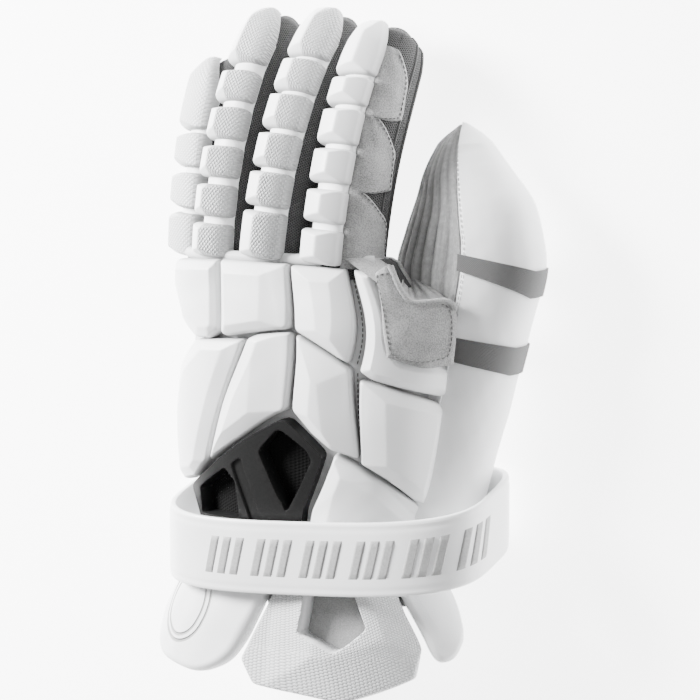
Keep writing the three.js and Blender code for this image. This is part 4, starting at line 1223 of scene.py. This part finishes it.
# %% [markdown]
# ## The thumb
# The thumb's inner face is a grey knit that hangs in long soft folds. Its outer side is a white padded
# guard. Two elastic bands go round the guard, and a rolled seam runs where knit and leather meet.

# %% Thumb sleeve, guard and bands
def seam_turn(at, grow, thin):
    """The angle at which the thumb's surface passes under the guard's seam."""
    x, half = curve(THUMB, 1, at) * PALM_WIDTH - thin / 2, curve(THUMB, 2, at) * THUMB_WIDTH + grow - thin / 2
    seam = curve(GUARD_SEAM, 1, at) * PALM_WIDTH
    share = np.clip((seam - x) / np.maximum(half, CLEAR), -1, 1)
    return np.arccos(np.clip(bow(share, 4 / THUMB_ROUND), -1, 1))


def low_turn(at, grow, thin, level):
    """The angle at which the thumb's surface comes down to a level."""
    middle = curve(THUMB, 3, at) * THUMB_HEIGHT - thin / 2
    rise = np.maximum(curve(THUMB, 4, at) * THUMB_HEIGHT + grow - thin / 2, CLEAR)
    share = np.clip((middle - level) / rise, 0.0, 1)
    return -np.arcsin(np.clip(bow(share, 4 / THUMB_ROUND), 0, 1))


thumb_at = np.concatenate([steps(100, -0.03, 0.9), steps(50, 0.9, 0.999)[1:]])
thinner = 1.2 * np.clip((thumb_at - 0.5) / 0.5, 0, 1) / THUMB_LENGTH
turns = 2 * np.pi * steps(193)[None, :-1]
sleeve_at = thumb_at[:, None]


def sleeve_skin(grow):
    """The knit sleeve's surface, drawn back a little towards the tip, so that the guard stands over it."""
    points = thumb_point(turns, sleeve_at, grow, GUARD)
    points[..., 1] -= (thinner * THUMB_LENGTH)[:, None] - grow * (thumb_at[:, None] > 0.99)
    return points


sleeve_outer = sleeve_skin(0.0)
past_seam = np.clip((turns - seam_turn(sleeve_at, 0, GUARD)) / 0.25, 0, 1)
inner_side = past_seam * np.clip((np.pi * 1.15 - turns) / 0.3, 0, 1)
lines = turns + 0.05 * np.sin(sleeve_at * 6) + 0.015 * np.sin(sleeve_at * 19)
ridge = np.minimum(np.abs(np.sin(lines * 16)) ** 0.7, 0.3 + np.abs(np.sin(lines * 37 + 1)) ** 0.6)
fade = np.clip((sleeve_at - 0.3) / 0.2, 0, 1) * np.clip((0.99 - sleeve_at) / 0.14, 0, 1) ** 0.5
folds = inner_side * (1.1 * (ridge - 0.6) * fade + 0.15 * soft_noise(sleeve_outer, 24, 8))
# the fold mark below is painted shade, dark in the valleys between the folds
valley_shade = inner_side * fade * (1 - ridge)
radial = unit(sleeve_outer - sleeve_outer.mean(1, keepdims=True))
sleeve_outer = sleeve_outer + radial * (folds - 0.2)[..., None]
uv = plan_of(turns * 26, sleeve_at * THUMB_LENGTH) / 10
sleeve = shell("thumb_knit", sleeve_skin(-LEATHER), sleeve_outer, KNIT, "grey_knit", uv, wrap=True,
               marks={"fold": valley_shade})
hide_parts("thumb_sleeve")


def outer_thumb(at, share, grow, thin, level):
    """A grid over the thumb's outer side, from the guard's seam over the side down to a level."""
    first, last = seam_turn(at, grow, thin), low_turn(at, grow, thin, level)
    return thumb_point(first + (last - first) * share, at, grow, thin)


side_share = (steps(80) ** 1.3)[None]
guard_low = 0.12 * THUMB_HEIGHT
guard_in = outer_thumb(sleeve_at, side_share, CLEAR, GUARD, guard_low)
guard_out = outer_thumb(sleeve_at, side_share, 0.0, 0.0, guard_low)
edge_roll = np.minimum(1, 26 * np.minimum(side_share + 0.004, 1 - side_share)) ** 0.5
guard_out = guard_in + (guard_out - guard_in) * edge_roll[..., None]
creases = 0.3 * soft_noise(guard_out, 34, 12) + 0.12 * soft_noise(guard_out, 9, 13)
guard_out = guard_out + unit(guard_out - guard_out.mean(1, keepdims=True)) * creases[..., None]
uv = plan_of(side_share * 90, sleeve_at * THUMB_LENGTH) / 10
# the edge mark paints shade on the guard along its seam
thumb_shell = shell("thumb_guard_leather", guard_in, guard_out, WHITE, "white_leather", uv,
                    marks={"edge": np.broadcast_to(np.exp(-side_share * 60), guard_out.shape[:2])})
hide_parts("thumb_guard")

# each band's start at the seam and at the outer side, and then its stop at the two
BANDS = (((0.652, 0.583), (0.692, 0.65)), ((0.436, 0.393), (0.493, 0.462)))
for number, (starts, stops) in enumerate(BANDS, 1):
    reach = np.minimum(side_share / 0.55, 1)
    start, stop = (ends[0] + (ends[1] - ends[0]) * reach for ends in (starts, stops))
    band_at = start + (stop - start) * steps(14)[:, None]
    band_low = guard_low + 0.4
    low, high = (outer_thumb(band_at, side_share, grow, 0.0, band_low) for grow in (CLEAR, CLEAR + 0.9))
    uv = plan_of(side_share * 90, band_at * THUMB_LENGTH) / 10
    band = shell(f"thumb_elastic_{number}", low, high, ELASTIC, "grey_elastic", uv)
    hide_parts(f"thumb_band_{number}")

seam_at = steps(120, 0.5, 0.97)
seam_path = thumb_point(seam_turn(seam_at, 0.3, GUARD) + 0.02, seam_at, 0.3, GUARD)
seam_up = np.broadcast_to([0.0, 0, 1], seam_path.shape)
cord_along("thumb_seam", seam_path, seam_up, 0.55, THREAD, "grey_knit")

# %% Leather between the hand and the thumb, and along the knuckles
knuckles = np.stack([steps(160, 0.1, 0.83) * ROUND_UNIT, np.full(160, 0.994 * PALM_LENGTH)], -1)
roll_path = back_point(knuckles[:, 0], knuckles[:, 1], np.full(160, 1.8))
roll_up = unit(back_point(knuckles[:, 0], knuckles[:, 1], np.full(160, 2.8)) - roll_path)
cord_along("knuckle_roll", roll_path, roll_up, 2.8, BACKING, "white_backing", sides=16)
fold_y, fold_share = steps(60, 0.0, 0.66)[:, None] * PALM_LENGTH, steps(16)[None]
near = back_point(0.895 * ROUND_UNIT + 0 * fold_y, fold_y, 0.6 + 0 * fold_y)
far = thumb_point(seam_turn(fold_y / THUMB_LENGTH, 0.5, 0.0) - 0.1, fold_y / THUMB_LENGTH, 0.5, 0.0)
web_low = near + (far - near) * fold_share[..., None]
web_low[..., 2] -= 1.2 * np.sin(np.pi * fold_share)
web_uv = plan_of(fold_share * 2, fold_y / 10)
shell("thumb_web_leather", web_low - [0, 0, 0.9], web_low, WHITE, "white_leather", web_uv)

# %% [markdown]
# ## Suede on the index finger and between finger and thumb
# A suede panel with three scallops is sewn down the thumb side of the index finger. A suede saddle joins
# the finger to the thumb over the web of the hand.

# %% Side panel and saddle
index_length = FINGERS["index"][7] * FINGER_LENGTH
PANEL_FROM, PANEL_ROOT, PANEL_TIP, PANEL_NOTCH = 67, -22, 4, 40  # angles round the finger
PANEL_REACH = 0.86  # where the panel stops, as a share of the finger


def scallops(v):
    """The angle round the finger at which the panel ends. Each of the three scallops swells at once above
    its notch and then narrows slowly to the next one."""
    phase = np.clip(v, 0, 0.9999) * 3 % 1
    deep = np.clip(phase / 0.13, 0, 1) ** 0.5 * np.sin(np.pi / 2 * np.clip((1 - phase) / 0.46, 0, 1)) ** 0.8
    outermost = PANEL_ROOT + (PANEL_TIP - PANEL_ROOT) * v
    return PANEL_NOTCH + (outermost - PANEL_NOTCH) * deep


def panel_point(u, v, lift):
    """The panel: u from its straight edge under the pads to its scalloped edge, v from root to tip."""
    turn = PANEL_FROM + (scallops(v) - PANEL_FROM) * u
    return tube_point("index", PANEL_REACH * v + 0 * u, np.radians(turn), lift)


u, v = steps(30)[None], steps(241)[:, None]
flank_turn = np.radians(steps(24, 42, -62))[None]
flank_share = steps(120, -0.02, 0.96)[:, None]
flank_low, flank_high = (tube_point("index", flank_share, flank_turn, lift) for lift in (0.05, 0.32))
flank_uv = plan_of(flank_turn * 1.6, flank_share * index_length / 10)
shell("index_mesh_side", flank_low, flank_high, MESH, "dark_mesh", flank_uv)
seam_on_finger("index", "index_piping", math.radians(-24), 1.15, PIPING, "dark_mesh", 0.3, -0.02, 0.97)
thick = SHEET * np.minimum(1, 8 * np.minimum(u + 0.05, 1 - u)) ** 0.5
ripple = 0.25 * soft_noise(stack(u * 30, v * index_length, 0 * u * v), 11, 21)
panel_uv = plan_of(u * 3.2, v * index_length / 10)
panel_low = panel_point(u, v, 0 * u * v + BACK_LOW)
panel_high = panel_point(u, v, BACK_LOW + thick + ripple)
panel = shell("index_suede_panel", panel_low, panel_high, SUEDE, "grey_suede", panel_uv)
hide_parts("index_side_panel")

# shares of the palm's width, length and height: rows from the finger to the wrist, each towards the thumb
SADDLE = np.array([
    [[0.34, 0.961, 0.956], [0.362, 0.979, 0.933], [0.381, 0.992, 0.899]],
    [[0.373, 0.861, 0.99], [0.419, 0.868, 0.951], [0.462, 0.864, 0.899]],
    [[0.386, 0.755, 1.006], [0.498, 0.771, 0.906], [0.592, 0.845, 0.73]],
    [[0.405, 0.665, 1.012], [0.52, 0.628, 0.91], [0.602, 0.635, 0.765]],
])


def saddle_point(u, v, lift):
    """A smooth surface through the saddle's table: first across each row, then along the rows."""
    numbered = [np.column_stack([np.arange(3), row]) for row in SADDLE]
    rows = [np.stack([curve(row, column, u * 2) for column in (1, 2, 3)], -1) for row in numbered]
    rows = np.stack([np.broadcast_to(row, np.broadcast(u, v).shape + (3,)) for row in rows])
    k = np.clip((v * 3).astype(int), 0, 2)
    t = (v * 3 - k)[..., None]
    k = np.broadcast_to(k, rows.shape[1:-1])
    picked = [np.clip(k + step, 0, 3)[None, ..., None] for step in (-1, 0, 1, 2)]
    a, b, c, d = (np.take_along_axis(rows, pick, 0)[0] for pick in picked)
    points = b + ((c - a) * t + (2 * a - 5 * b + 4 * c - d) * t**2 + (3 * b - a - 3 * c + d) * t**3) / 2
    points = points * [PALM_WIDTH, PALM_LENGTH, PALM_HEIGHT]
    points[..., 2] += lift
    return points


u, v = steps(46)[None], steps(60)[:, None]
lump = 0.3 * soft_noise(stack(u * 34, v * 44, 0 * u * v), 16, 23)
saddle_thick = 1.85 * np.minimum(1, 10 * np.minimum(np.minimum(u, 1 - u), np.minimum(v, 1 - v)) + 0.15) ** 0.5
saddle = shell("thumb_saddle_suede", saddle_point(u, v, 0 * u * v), saddle_point(u, v, saddle_thick + lump),
               SUEDE, "grey_suede", plan_of(u * 3.4, v * 4.4))
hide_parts("thumb_saddle")
arc = saddle_point(1 + 0 * steps(80), steps(80, 0.03, 0.7), 0.9)
cord_along("thumb_saddle_binding", arc, np.broadcast_to([0.3, 0.3, 1.0], arc.shape), 1.7, SUEDE, "grey_suede")

# %% Suede that joins the side panel to the saddle
u, v = steps(30)[None], steps(24)[:, None]
root = tube_point("index", 0.05 + 0 * u, np.radians(PANEL_FROM + 3 - (PANEL_FROM + 21) * u), BACK_LOW + 0.5)
landing = saddle_point(u, 0.14 + 0 * u, 0.4)
joined = root + (landing - root) * v[..., None]
joined[..., 2] += 0.3 * np.sin(np.pi * v)
joined_uv = plan_of(u * 3.4, v * 1.6)
shell("index_root_suede", joined - [0, 0, 1.0], joined, SUEDE, "grey_suede", joined_uv)

# %% Knit that hangs from the saddle's edge down into the thumb
hang, drop = steps(90, 0.2, 0.72)[:, None], steps(30)[None]
top_edge = saddle_point(1 + 0 * hang, hang, -0.6)
upper = np.clip((0.45 - hang) / 0.42, 0, 1)
bottom_at = np.clip(top_edge[..., 1] / THUMB_LENGTH + 0.05 - 0.05 * upper, 0, 0.8)
bottom_turn = seam_turn(bottom_at, 0, GUARD) + 0.75 + 1.3 * upper**1.5
bottom_edge = thumb_point(bottom_turn, bottom_at, -0.6 - 4 * upper, GUARD)
hanging = top_edge + (bottom_edge - top_edge) * drop[..., None]
gathers = np.sin(hang * 74 + 2 * drop) * np.sin(np.pi * drop) ** 0.7
hanging[..., 2] -= 1.5 * np.sin(np.pi * drop) + 0.6 * gathers
hanging_uv = plan_of(hang * 4, drop * 2)
# its fold mark paints shade into the hollows of the gathers
shell("web_knit", hanging - [0, 0, 0.8], hanging, KNIT, "grey_knit", hanging_uv,
      marks={"fold": np.clip(-gathers, 0, 1) * 0.7})

# %% [markdown]
# ## The vent
# A satin plastic frame sits in a gap between the pads, over a black net. It is a curved slab with a
# rounded edge. Its openings are cut with tapered tools, wider at the top, which leaves the sloping inner
# faces that catch the light. A shallower cut between the openings leaves two ribs.

# %% Vent frame and net
def tapered(corners, low, high, low_in, high_in):
    """A closed tool over the back of the hand whose outline grows from its bottom to its top."""
    corners = np.array(corners) * BACK_PLAN
    rings = [rounded(inset(corners, by), 1.6, 1.0) for by in (low_in, high_in)]
    count = min(map(len, rings))

    def resampled(ring):
        """A ring with as many points as the shorter of the two, so that they can be joined."""
        places, closed = np.arange(len(ring) + 1), np.concatenate([ring, ring[:1]])
        at = steps(count + 1)[:-1] * len(ring)
        return np.stack([np.interp(at, places, closed[:, k]) for k in (0, 1)], -1)

    lower, upper = (resampled(even(ring, 1.0, True)) for ring in rings)
    centre = corners.mean(0)
    layers = [centre + (lower - centre) * 0.5, lower, upper, centre + (upper - centre) * 0.5]
    flat = np.concatenate(layers + [[centre, centre]])
    out = np.concatenate([np.repeat([low, low, high, high], count), [low, high]])
    bottom = fan(count, len(flat) - 2)
    top = fan(count, len(flat) - 1, 3 * count, True)
    body = quads(len(layers), count, 0, True)[:, ::-1]
    return back_point(flat[:, 0], flat[:, 1], out), np.concatenate([bottom, body, top])


VENT_HOLES = [
    [(0.5, 0.385), (0.552, 0.316), (0.562, 0.28), (0.513, 0.085), (0.461, 0.302)],
    [(0.363, 0.217), (0.262, 0.13), (0.258, 0.03), (0.398, 0.03), (0.39, 0.176)],
]
VENT_GROOVE = [(0.383, 0.238), (0.411, 0.272), (0.466, 0.01), (0.436, 0.01)]
points, faces, flat = patch(VENT_EDGE, PAD_LOW - 0.2, PAD_LOW + RIB, GAP)
vent = piece("vent_plastic", points, faces, PLASTIC, "satin_plastic", flat / 10, smooth_under=35)
frame_top, groove_deep = PAD_LOW + RIB, 1.3
tools = [tool_from(f"tool_{k}", *tapered(hole, -1.5, frame_top + 0.6, 0.7, -0.7))
         for k, hole in enumerate(VENT_HOLES)]
groove = tapered(VENT_GROOVE, frame_top - groove_deep, frame_top + 0.6, 0.3, -0.3)
tools.append(tool_from("tool_groove", *groove))
cut(vent, tools)
vent.data.materials.append(EDGE_HIGHLIGHT)
bevel = vent.modifiers.new("soft edges", "BEVEL")
bevel.width, bevel.segments = 0.45 * MM, 2
bevel.limit_method, bevel.angle_limit = "ANGLE", math.radians(40)
bevel.material = 1  # the second material, so the edges are painted lighter, as a highlight
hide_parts("vent_frame")
points, faces, flat = patch(VENT_EDGE, BACK_LOW + 0.2, BACK_HIGH, 4.4)
net = piece("vent_net", points, faces, NET, "black_mesh", flat / 10)
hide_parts("vent_mesh")
print("vent corners:", len(vent.data.vertices))

# %% [markdown]
# ## The cuff
# Two white flaps and a moulded tongue flare from the wrist. The flaps are foam under leather, like the
# pads. The tongue is one moulding with a window, and a flat facet slopes down to each side of its outline.

# %% Flaps and tongue
CUFF = {
    "cuff_flap_pinky": (
        [(0.476, -0.1), (0.47, -0.355), (0.427, -0.686), (0.393, -0.837), (0.342, -0.913),
         (0.3, -0.936), (0.155, -0.895), (0.075, -0.79), (0.06, -0.5), (0.07, -0.1)], FLAP),
    "cuff_flap_thumb": (
        [(0.765, -0.1), (0.767, -0.349), (0.784, -0.506), (0.803, -0.698),
         (0.826, -0.755), (0.88, -0.735), (0.94, -0.62), (0.97, -0.45), (0.96, -0.1)], FLAP),
    "cuff_tongue": (
        [(0.482, -0.1), (0.476, -0.349), (0.4515, -0.529), (0.414, -0.8), (0.443, -0.945),
         (0.59, -1), (0.755, -0.83), (0.788, -0.66), (0.772, -0.477), (0.76, -0.1)], TONGUE),
}
TONGUE_WINDOW = [(0.556, -0.25), (0.644, -0.25), (0.659, -0.55), (0.588, -0.69), (0.527, -0.6)]
CUFF_PLAN = np.array([ROUND_UNIT, CUFF_LENGTH])
TONGUE_SLOPES = [13, 13, 13, 14, 21, 21, 14, 12, 12, 6]
WIDER_FROM = -0.72 * CUFF_LENGTH  # the bumps of the tongue are set wider below this


def cuff_pad(name, radius, finish, slot, facets, facet, roll, puff, mark=None):
    """A pad of the cuff, laid on the back's sections where they flare beyond the wrist."""
    corners, thick = CUFF[name]
    edge = inset(np.array(corners) * CUFF_PLAN, GAP / 2)
    outline = rounded(edge, radius, 1.2)
    slopes = None if facets is None else lambda flat: facet_shares(flat, edge, facets)
    foam = foam_pad(name.replace("cuff", "moulded"), outline, back_point, BACK_LOW, thick, finish, slot,
                    slopes, rings=40, roll=roll, facet=facet, puff=puff, seed=31, mark=mark)
    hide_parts(name)
    return foam


cuff_pad("cuff_flap_pinky", 6, FLAP_WHITE, "white_leather", None, 0.12, 3.6, 0.25)
cuff_pad("cuff_flap_thumb", 5, WHITE, "white_leather", None, 0.12, 3.6, 0.25)
tongue = cuff_pad("cuff_tongue", 1.6, MOULDED, "white_moulded", TONGUE_SLOPES, 0.68, 1.3, 0.05,
                  lambda flat: np.clip((WIDER_FROM - flat[:, 1]) / 3 + 0.5, 0, 1))
window_corners = [(r, a * CUFF_LENGTH / PALM_LENGTH) for r, a in TONGUE_WINDOW]
window = tool_from("window", *tapered(window_corners, -4, TONGUE + 2, 0.4, -1.2))
cut(tongue, [window])

# %% Lining inside the cuff, seen through the window
behind_window = np.clip((0.32 - np.abs(steps(90, -1, 1) + 0.19)) / 0.1, 0, 1)
lining_end = -0.27 - 0.19 * behind_window * behind_window * (3 - 2 * behind_window)
at = lining_end + (-0.05 - lining_end) * steps(70)[:, None]
lining_level = 0.55 * PALM_HEIGHT  # how far down its sides reach


def lining(grow):
    """The lining follows the back's section over the wrist, down to one level on both sides."""
    middle = curve(HAND, 4, at) * PALM_HEIGHT
    rise = (curve(HAND, 3, at) - curve(HAND, 4, at)) * PALM_HEIGHT + grow
    first = np.arcsin(np.clip(bow((lining_level - middle) / rise, 4 / BACK_ROUND), 0, 1))
    return hand_point(first + (np.pi - 2 * first) * steps(90)[None], at, grow)


outer = lining(-0.1)
uv = plan_of(steps(90)[None] * 180, at * PALM_LENGTH) / 10
lined = shell("cuff_lining", lining(-SHEET), outer, LINING, "grey_lining", uv)
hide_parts("cuff_liner")

# %% [markdown]
# ## The strap
# The strap is a moulded band that goes once round the wrist. Its section is a flat rectangle with round
# corners, and it is carried round a closed loop that is squarer below, where it lies on the ground. Raised
# grey bars, slanted and in groups of three, decorate its upper stretch.

# %% Strap
STRAP_ROUND, STRAP_FLOOR_ROUND = 3, 4.5      # over the back, and where it lies on the ground
STRAP_FLAT = 0.985                           # the loop lies flat where it would reach lower than this share
LEAN_UP, LEAN_ACROSS = -0.27, 0.14           # how far the band leans, as shares of its width


def strap_point(turn, wide, deep):
    """A point of the strap: turn goes round the loop, wide across the band and deep into its thickness."""
    roundness = np.where(np.sin(turn) > 0, STRAP_ROUND, STRAP_FLOOR_ROUND)
    across, above = bow(np.cos(turn), roundness), bow(np.sin(turn), roundness)
    x = STRAP_X * PALM_WIDTH + (STRAP_SPAN / 2 - deep) * across
    y = STRAP_Y * PALM_LENGTH + (LEAN_UP * above + LEAN_ACROSS * across) * STRAP_WIDTH + wide
    z = STRAP_RISE / 2 * (STRAP_FLAT + np.maximum(above, -STRAP_FLAT)) - deep * np.maximum(above, -1)
    return stack(x, y, z)


strap_turns = 2 * np.pi * steps(361)[:-1]
half_wide = STRAP_WIDTH / 2
ring_turn = 2 * np.pi * steps(41)[:-1] + 0.01
WIDE_POWER, DEEP_POWER = 9, 5  # the section's corners: a higher power is squarer
wide = half_wide * bow(np.cos(ring_turn), WIDE_POWER)
deep = STRAP_THICK / 2 * (1 - bow(np.sin(ring_turn), DEEP_POWER))
dip = 0.35 * np.exp(-((np.abs(wide) - half_wide + 3.2) / 0.6) ** 2) * (deep < STRAP_THICK / 2)
points = strap_point(strap_turns[:, None], wide[None], (deep + dip)[None])
per_radian = 62  # millimetres of the strap's plan for each radian round its loop
uv = plan_of(strap_turns[:, None] * per_radian, wide[None]) / 10
faces = quads(len(strap_turns), len(ring_turn), 0, True, True)
strap = piece("moulded_strap", points, faces, RUBBER, "strap_rubber", uv, smooth_under=60)
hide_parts("wrist_strap")

# %% Bars on the strap
BAR_COUNT, BARS_IN_GROUP = 18, 3
BARS_FROM, BAR_PITCH, GROUP_GAP = -45, 7.6, 5  # where the first one stands, and the steps from bar to bar
BAR_HALF_WIDTH, BAR_HEIGHT, BAR_RISE = 2.5, 19, 0.5
BAR_SLANT = 0.9  # how far a bar's ends lean, in half widths


def strap_bar(name, place, half_bar, height):
    """A raised slanted bar on the strap's outer face: a small grid with a rounded edge."""
    u, v = steps(9, -1, 1)[None], steps(13, -1, 1)[:, None]
    turns = np.interp(place + (u + v * BAR_SLANT) * half_bar, run, around)
    lift = BAR_RISE * np.minimum(1, 4 * np.minimum(1 - np.abs(u), (1 - np.abs(v)) * 2.5)) ** 0.5
    low = strap_point(turns, v * height / 2, 0.4 + 0 * u * v)
    high = strap_point(turns, v * height / 2, -lift)
    shell(name, low, high, BARS, "strap_rubber", plan_of(u * 5, v * height) / 20)


around = steps(20001, np.pi, -0.4)
middle_line = strap_point(around, 0 * around, 0 * around)
run = run_along(middle_line)
rising = 9000  # the line's first points, where x only grows
first_bar = np.interp(BARS_FROM, middle_line[:rising, 0], run[:rising])
order = np.arange(BAR_COUNT)
bar_run = first_bar + order * BAR_PITCH + order // BARS_IN_GROUP * GROUP_GAP
for number, place in enumerate(bar_run, 1):
    strap_bar(f"strap_bar_{number}", place, BAR_HALF_WIDTH, BAR_HEIGHT)
print("strap bars:", len(bar_run))

# %% [markdown]
# ## Stitches
# A stitch is a short capsule of thread, and a seam is the same capsule set down at an even pitch. The
# capsule is made once, and all the stitches of a seam are placed at once from three arrays: where each one
# lies, which way it runs and which way is up.

# %% Stitches
PITCH, LENGTH, THICKNESS = 2.7, 1.9, 0.55


def stitches(name, path, normals, finish=THREAD, slot="grey_suede"):
    """Capsules along a path: five rings of six points each, and a point at either end."""
    run = run_along(path)
    at = np.arange(PITCH / 2, run[-1], PITCH)

    def pick(values):
        """Values at the stitches' places, from those at the path's points."""
        return np.stack([np.interp(at, run, values[:, k]) for k in range(3)], -1)

    centre, ahead, up_way = pick(path), unit(pick(np.gradient(path, axis=0))), unit(pick(normals))
    side = unit(np.cross(ahead, up_way))
    up_way = np.cross(side, ahead)
    along = np.array([-0.48, -0.3, 0, 0.3, 0.48]) * LENGTH
    wide = np.array([0.5, 0.95, 1, 0.95, 0.5]) * THICKNESS / 2
    arch = np.array([-0.35, 0.05, 0.2, 0.05, -0.35]) * THICKNESS
    rings, sides = len(along), 6
    turns = 2 * np.pi * steps(sides + 1)[:-1]

    def ring(k):
        """The k-th ring of every stitch at once."""
        sideways = side[:, None] * (np.cos(turns) * wide[k])[None, :, None]
        upwards = up_way[:, None] * (np.sin(turns) * wide[k] + arch[k])[None, :, None]
        return centre[:, None] + ahead[:, None] * along[k] + sideways + upwards

    first, last = (centre + ahead * along[k] * 1.15 + up_way * arch[k] for k in (0, rings - 1))
    points = np.concatenate([*(ring(k) for k in range(rings)), first[:, None], last[:, None]], 1)
    body = rings * sides
    caps = [fan(sides, body, 0, True), fan(sides, body + 1, body - sides)]
    faces = np.concatenate([quads(rings, sides, 0, True), *caps])
    every = (faces[None] + (body + 2) * np.arange(len(at))[:, None, None]).reshape(-1, 4)
    return piece(name, points, every, finish, slot, smooth_under=80)


def on_back(rows, lift):
    """A path over the back of the hand through a few places, and the surface's normals along it."""
    walk = even(np.array(rows) * BACK_PLAN, 0.8)
    low = back_point(walk[:, 0], walk[:, 1], np.full(len(walk), lift))
    high = back_point(walk[:, 0], walk[:, 1], np.full(len(walk), lift + 1))
    return low, unit(high - low)


BACK_SEAMS = {
    "web": [(0.724, 0.95), (0.706, 0.86), (0.682, 0.74), (0.66, 0.63)],
    "wrist": [(0.612, 0.27), (0.578, 0.14), (0.562, 0.06), (0.553, -0.01)],
    "thumb_pad": [(0.662, 0.6), (0.67, 0.46), (0.681, 0.3)],
    "middle": [(0.521, 0.7), (0.518, 0.58), (0.515, 0.47)],
}
for label, rows in BACK_SEAMS.items():
    stitches(f"stitches_{label}", *on_back(rows, BACK_HIGH + 0.1), slot="white_backing")

v = steps(600, 0.02, 0.98)
from_edge = 9  # degrees between the stitches and the scalloped edge
inner_edge = 1 - from_edge / (PANEL_FROM - scallops(v))
path = panel_point(inner_edge, v, 0 * v + BACK_HIGH + 0.25)
up_way = unit(panel_point(inner_edge, v, 0 * v + BACK_HIGH + 1.25) - path)
stitches("stitches_panel", path, up_way)

border = rounded([(0.1, 0.06), (0.9, 0.1), (0.94, 0.93), (0.1, 0.93)], 0.1, 0.01)
path = saddle_point(border[:, 0], border[:, 1], 1.9)
up_way = np.broadcast_to(unit(np.array([0.35, 0.25, 1.0])), path.shape)
stitches("stitches_saddle", path, up_way)

seam_at = steps(120, 0.5, 0.95)
low = thumb_point(seam_turn(seam_at, 0.0, 0.0) - 0.06, seam_at, 0.15, 0.0)
stitches("stitches_thumb", low, np.broadcast_to([0.0, 0, 1], low.shape), PALE_THREAD, "white_leather")

# %% [markdown]
# ## The floor and the light
# The glove lies on a plain floor that glows, so that it is nearly as pale as a studio's paper. A soft lamp
# stands about 30 degrees up on the little finger's side, which shades the facets of the pads. A much weaker
# one on the thumb's side fills the shadows, and the world is bright, as in a studio with white walls.

# %% Floor, lamps and world
floor_mesh = bpy.data.meshes.new("floor")
floor_mesh.from_pydata([(-3, -3, 0), (3, -3, 0), (3, 3, 0), (-3, 3, 0)], [], [(0, 1, 2, 3)])
floor = bpy.data.objects.new("floor", floor_mesh)
bpy.context.scene.collection.objects.link(floor)
ground = Finish("pale floor", 0.9, specular=0.1)
ground.shader.inputs["Base Color"].default_value = (*grey(0.95), 1)
ground.shader.inputs["Emission Color"].default_value = (1, 1, 1, 1)
ground.shader.inputs["Emission Strength"].default_value = 5.0
floor_mesh.materials.append(ground.material)


def lamp(name, place, size, watts):
    """A square lamp that faces the glove."""
    light = bpy.data.lights.new(name, "AREA")
    light.size, light.energy = size, watts
    obj = bpy.data.objects.new(name, light)
    place = Vector(place)
    turn = (place - LOOK_AT).to_track_quat("Z", "Y").to_matrix().to_4x4()
    obj.matrix_world = Matrix.Translation(place) @ turn
    bpy.context.scene.collection.objects.link(obj)


lamp("key", (-1.05, 0.6, 0.72), 0.5, 124)
lamp("fill", (1.3, 0.3, 1.0), 1.2, 3)
world = bpy.data.worlds.new("studio")
world.use_nodes = True
world.node_tree.nodes["Background"].inputs["Color"].default_value = (1, 1, 1, 1)
world.node_tree.nodes["Background"].inputs["Strength"].default_value = 0.6
bpy.context.scene.world = world

# %% Count the pieces and their points
print("pieces:", len(made), "points:", sum(made.values()))
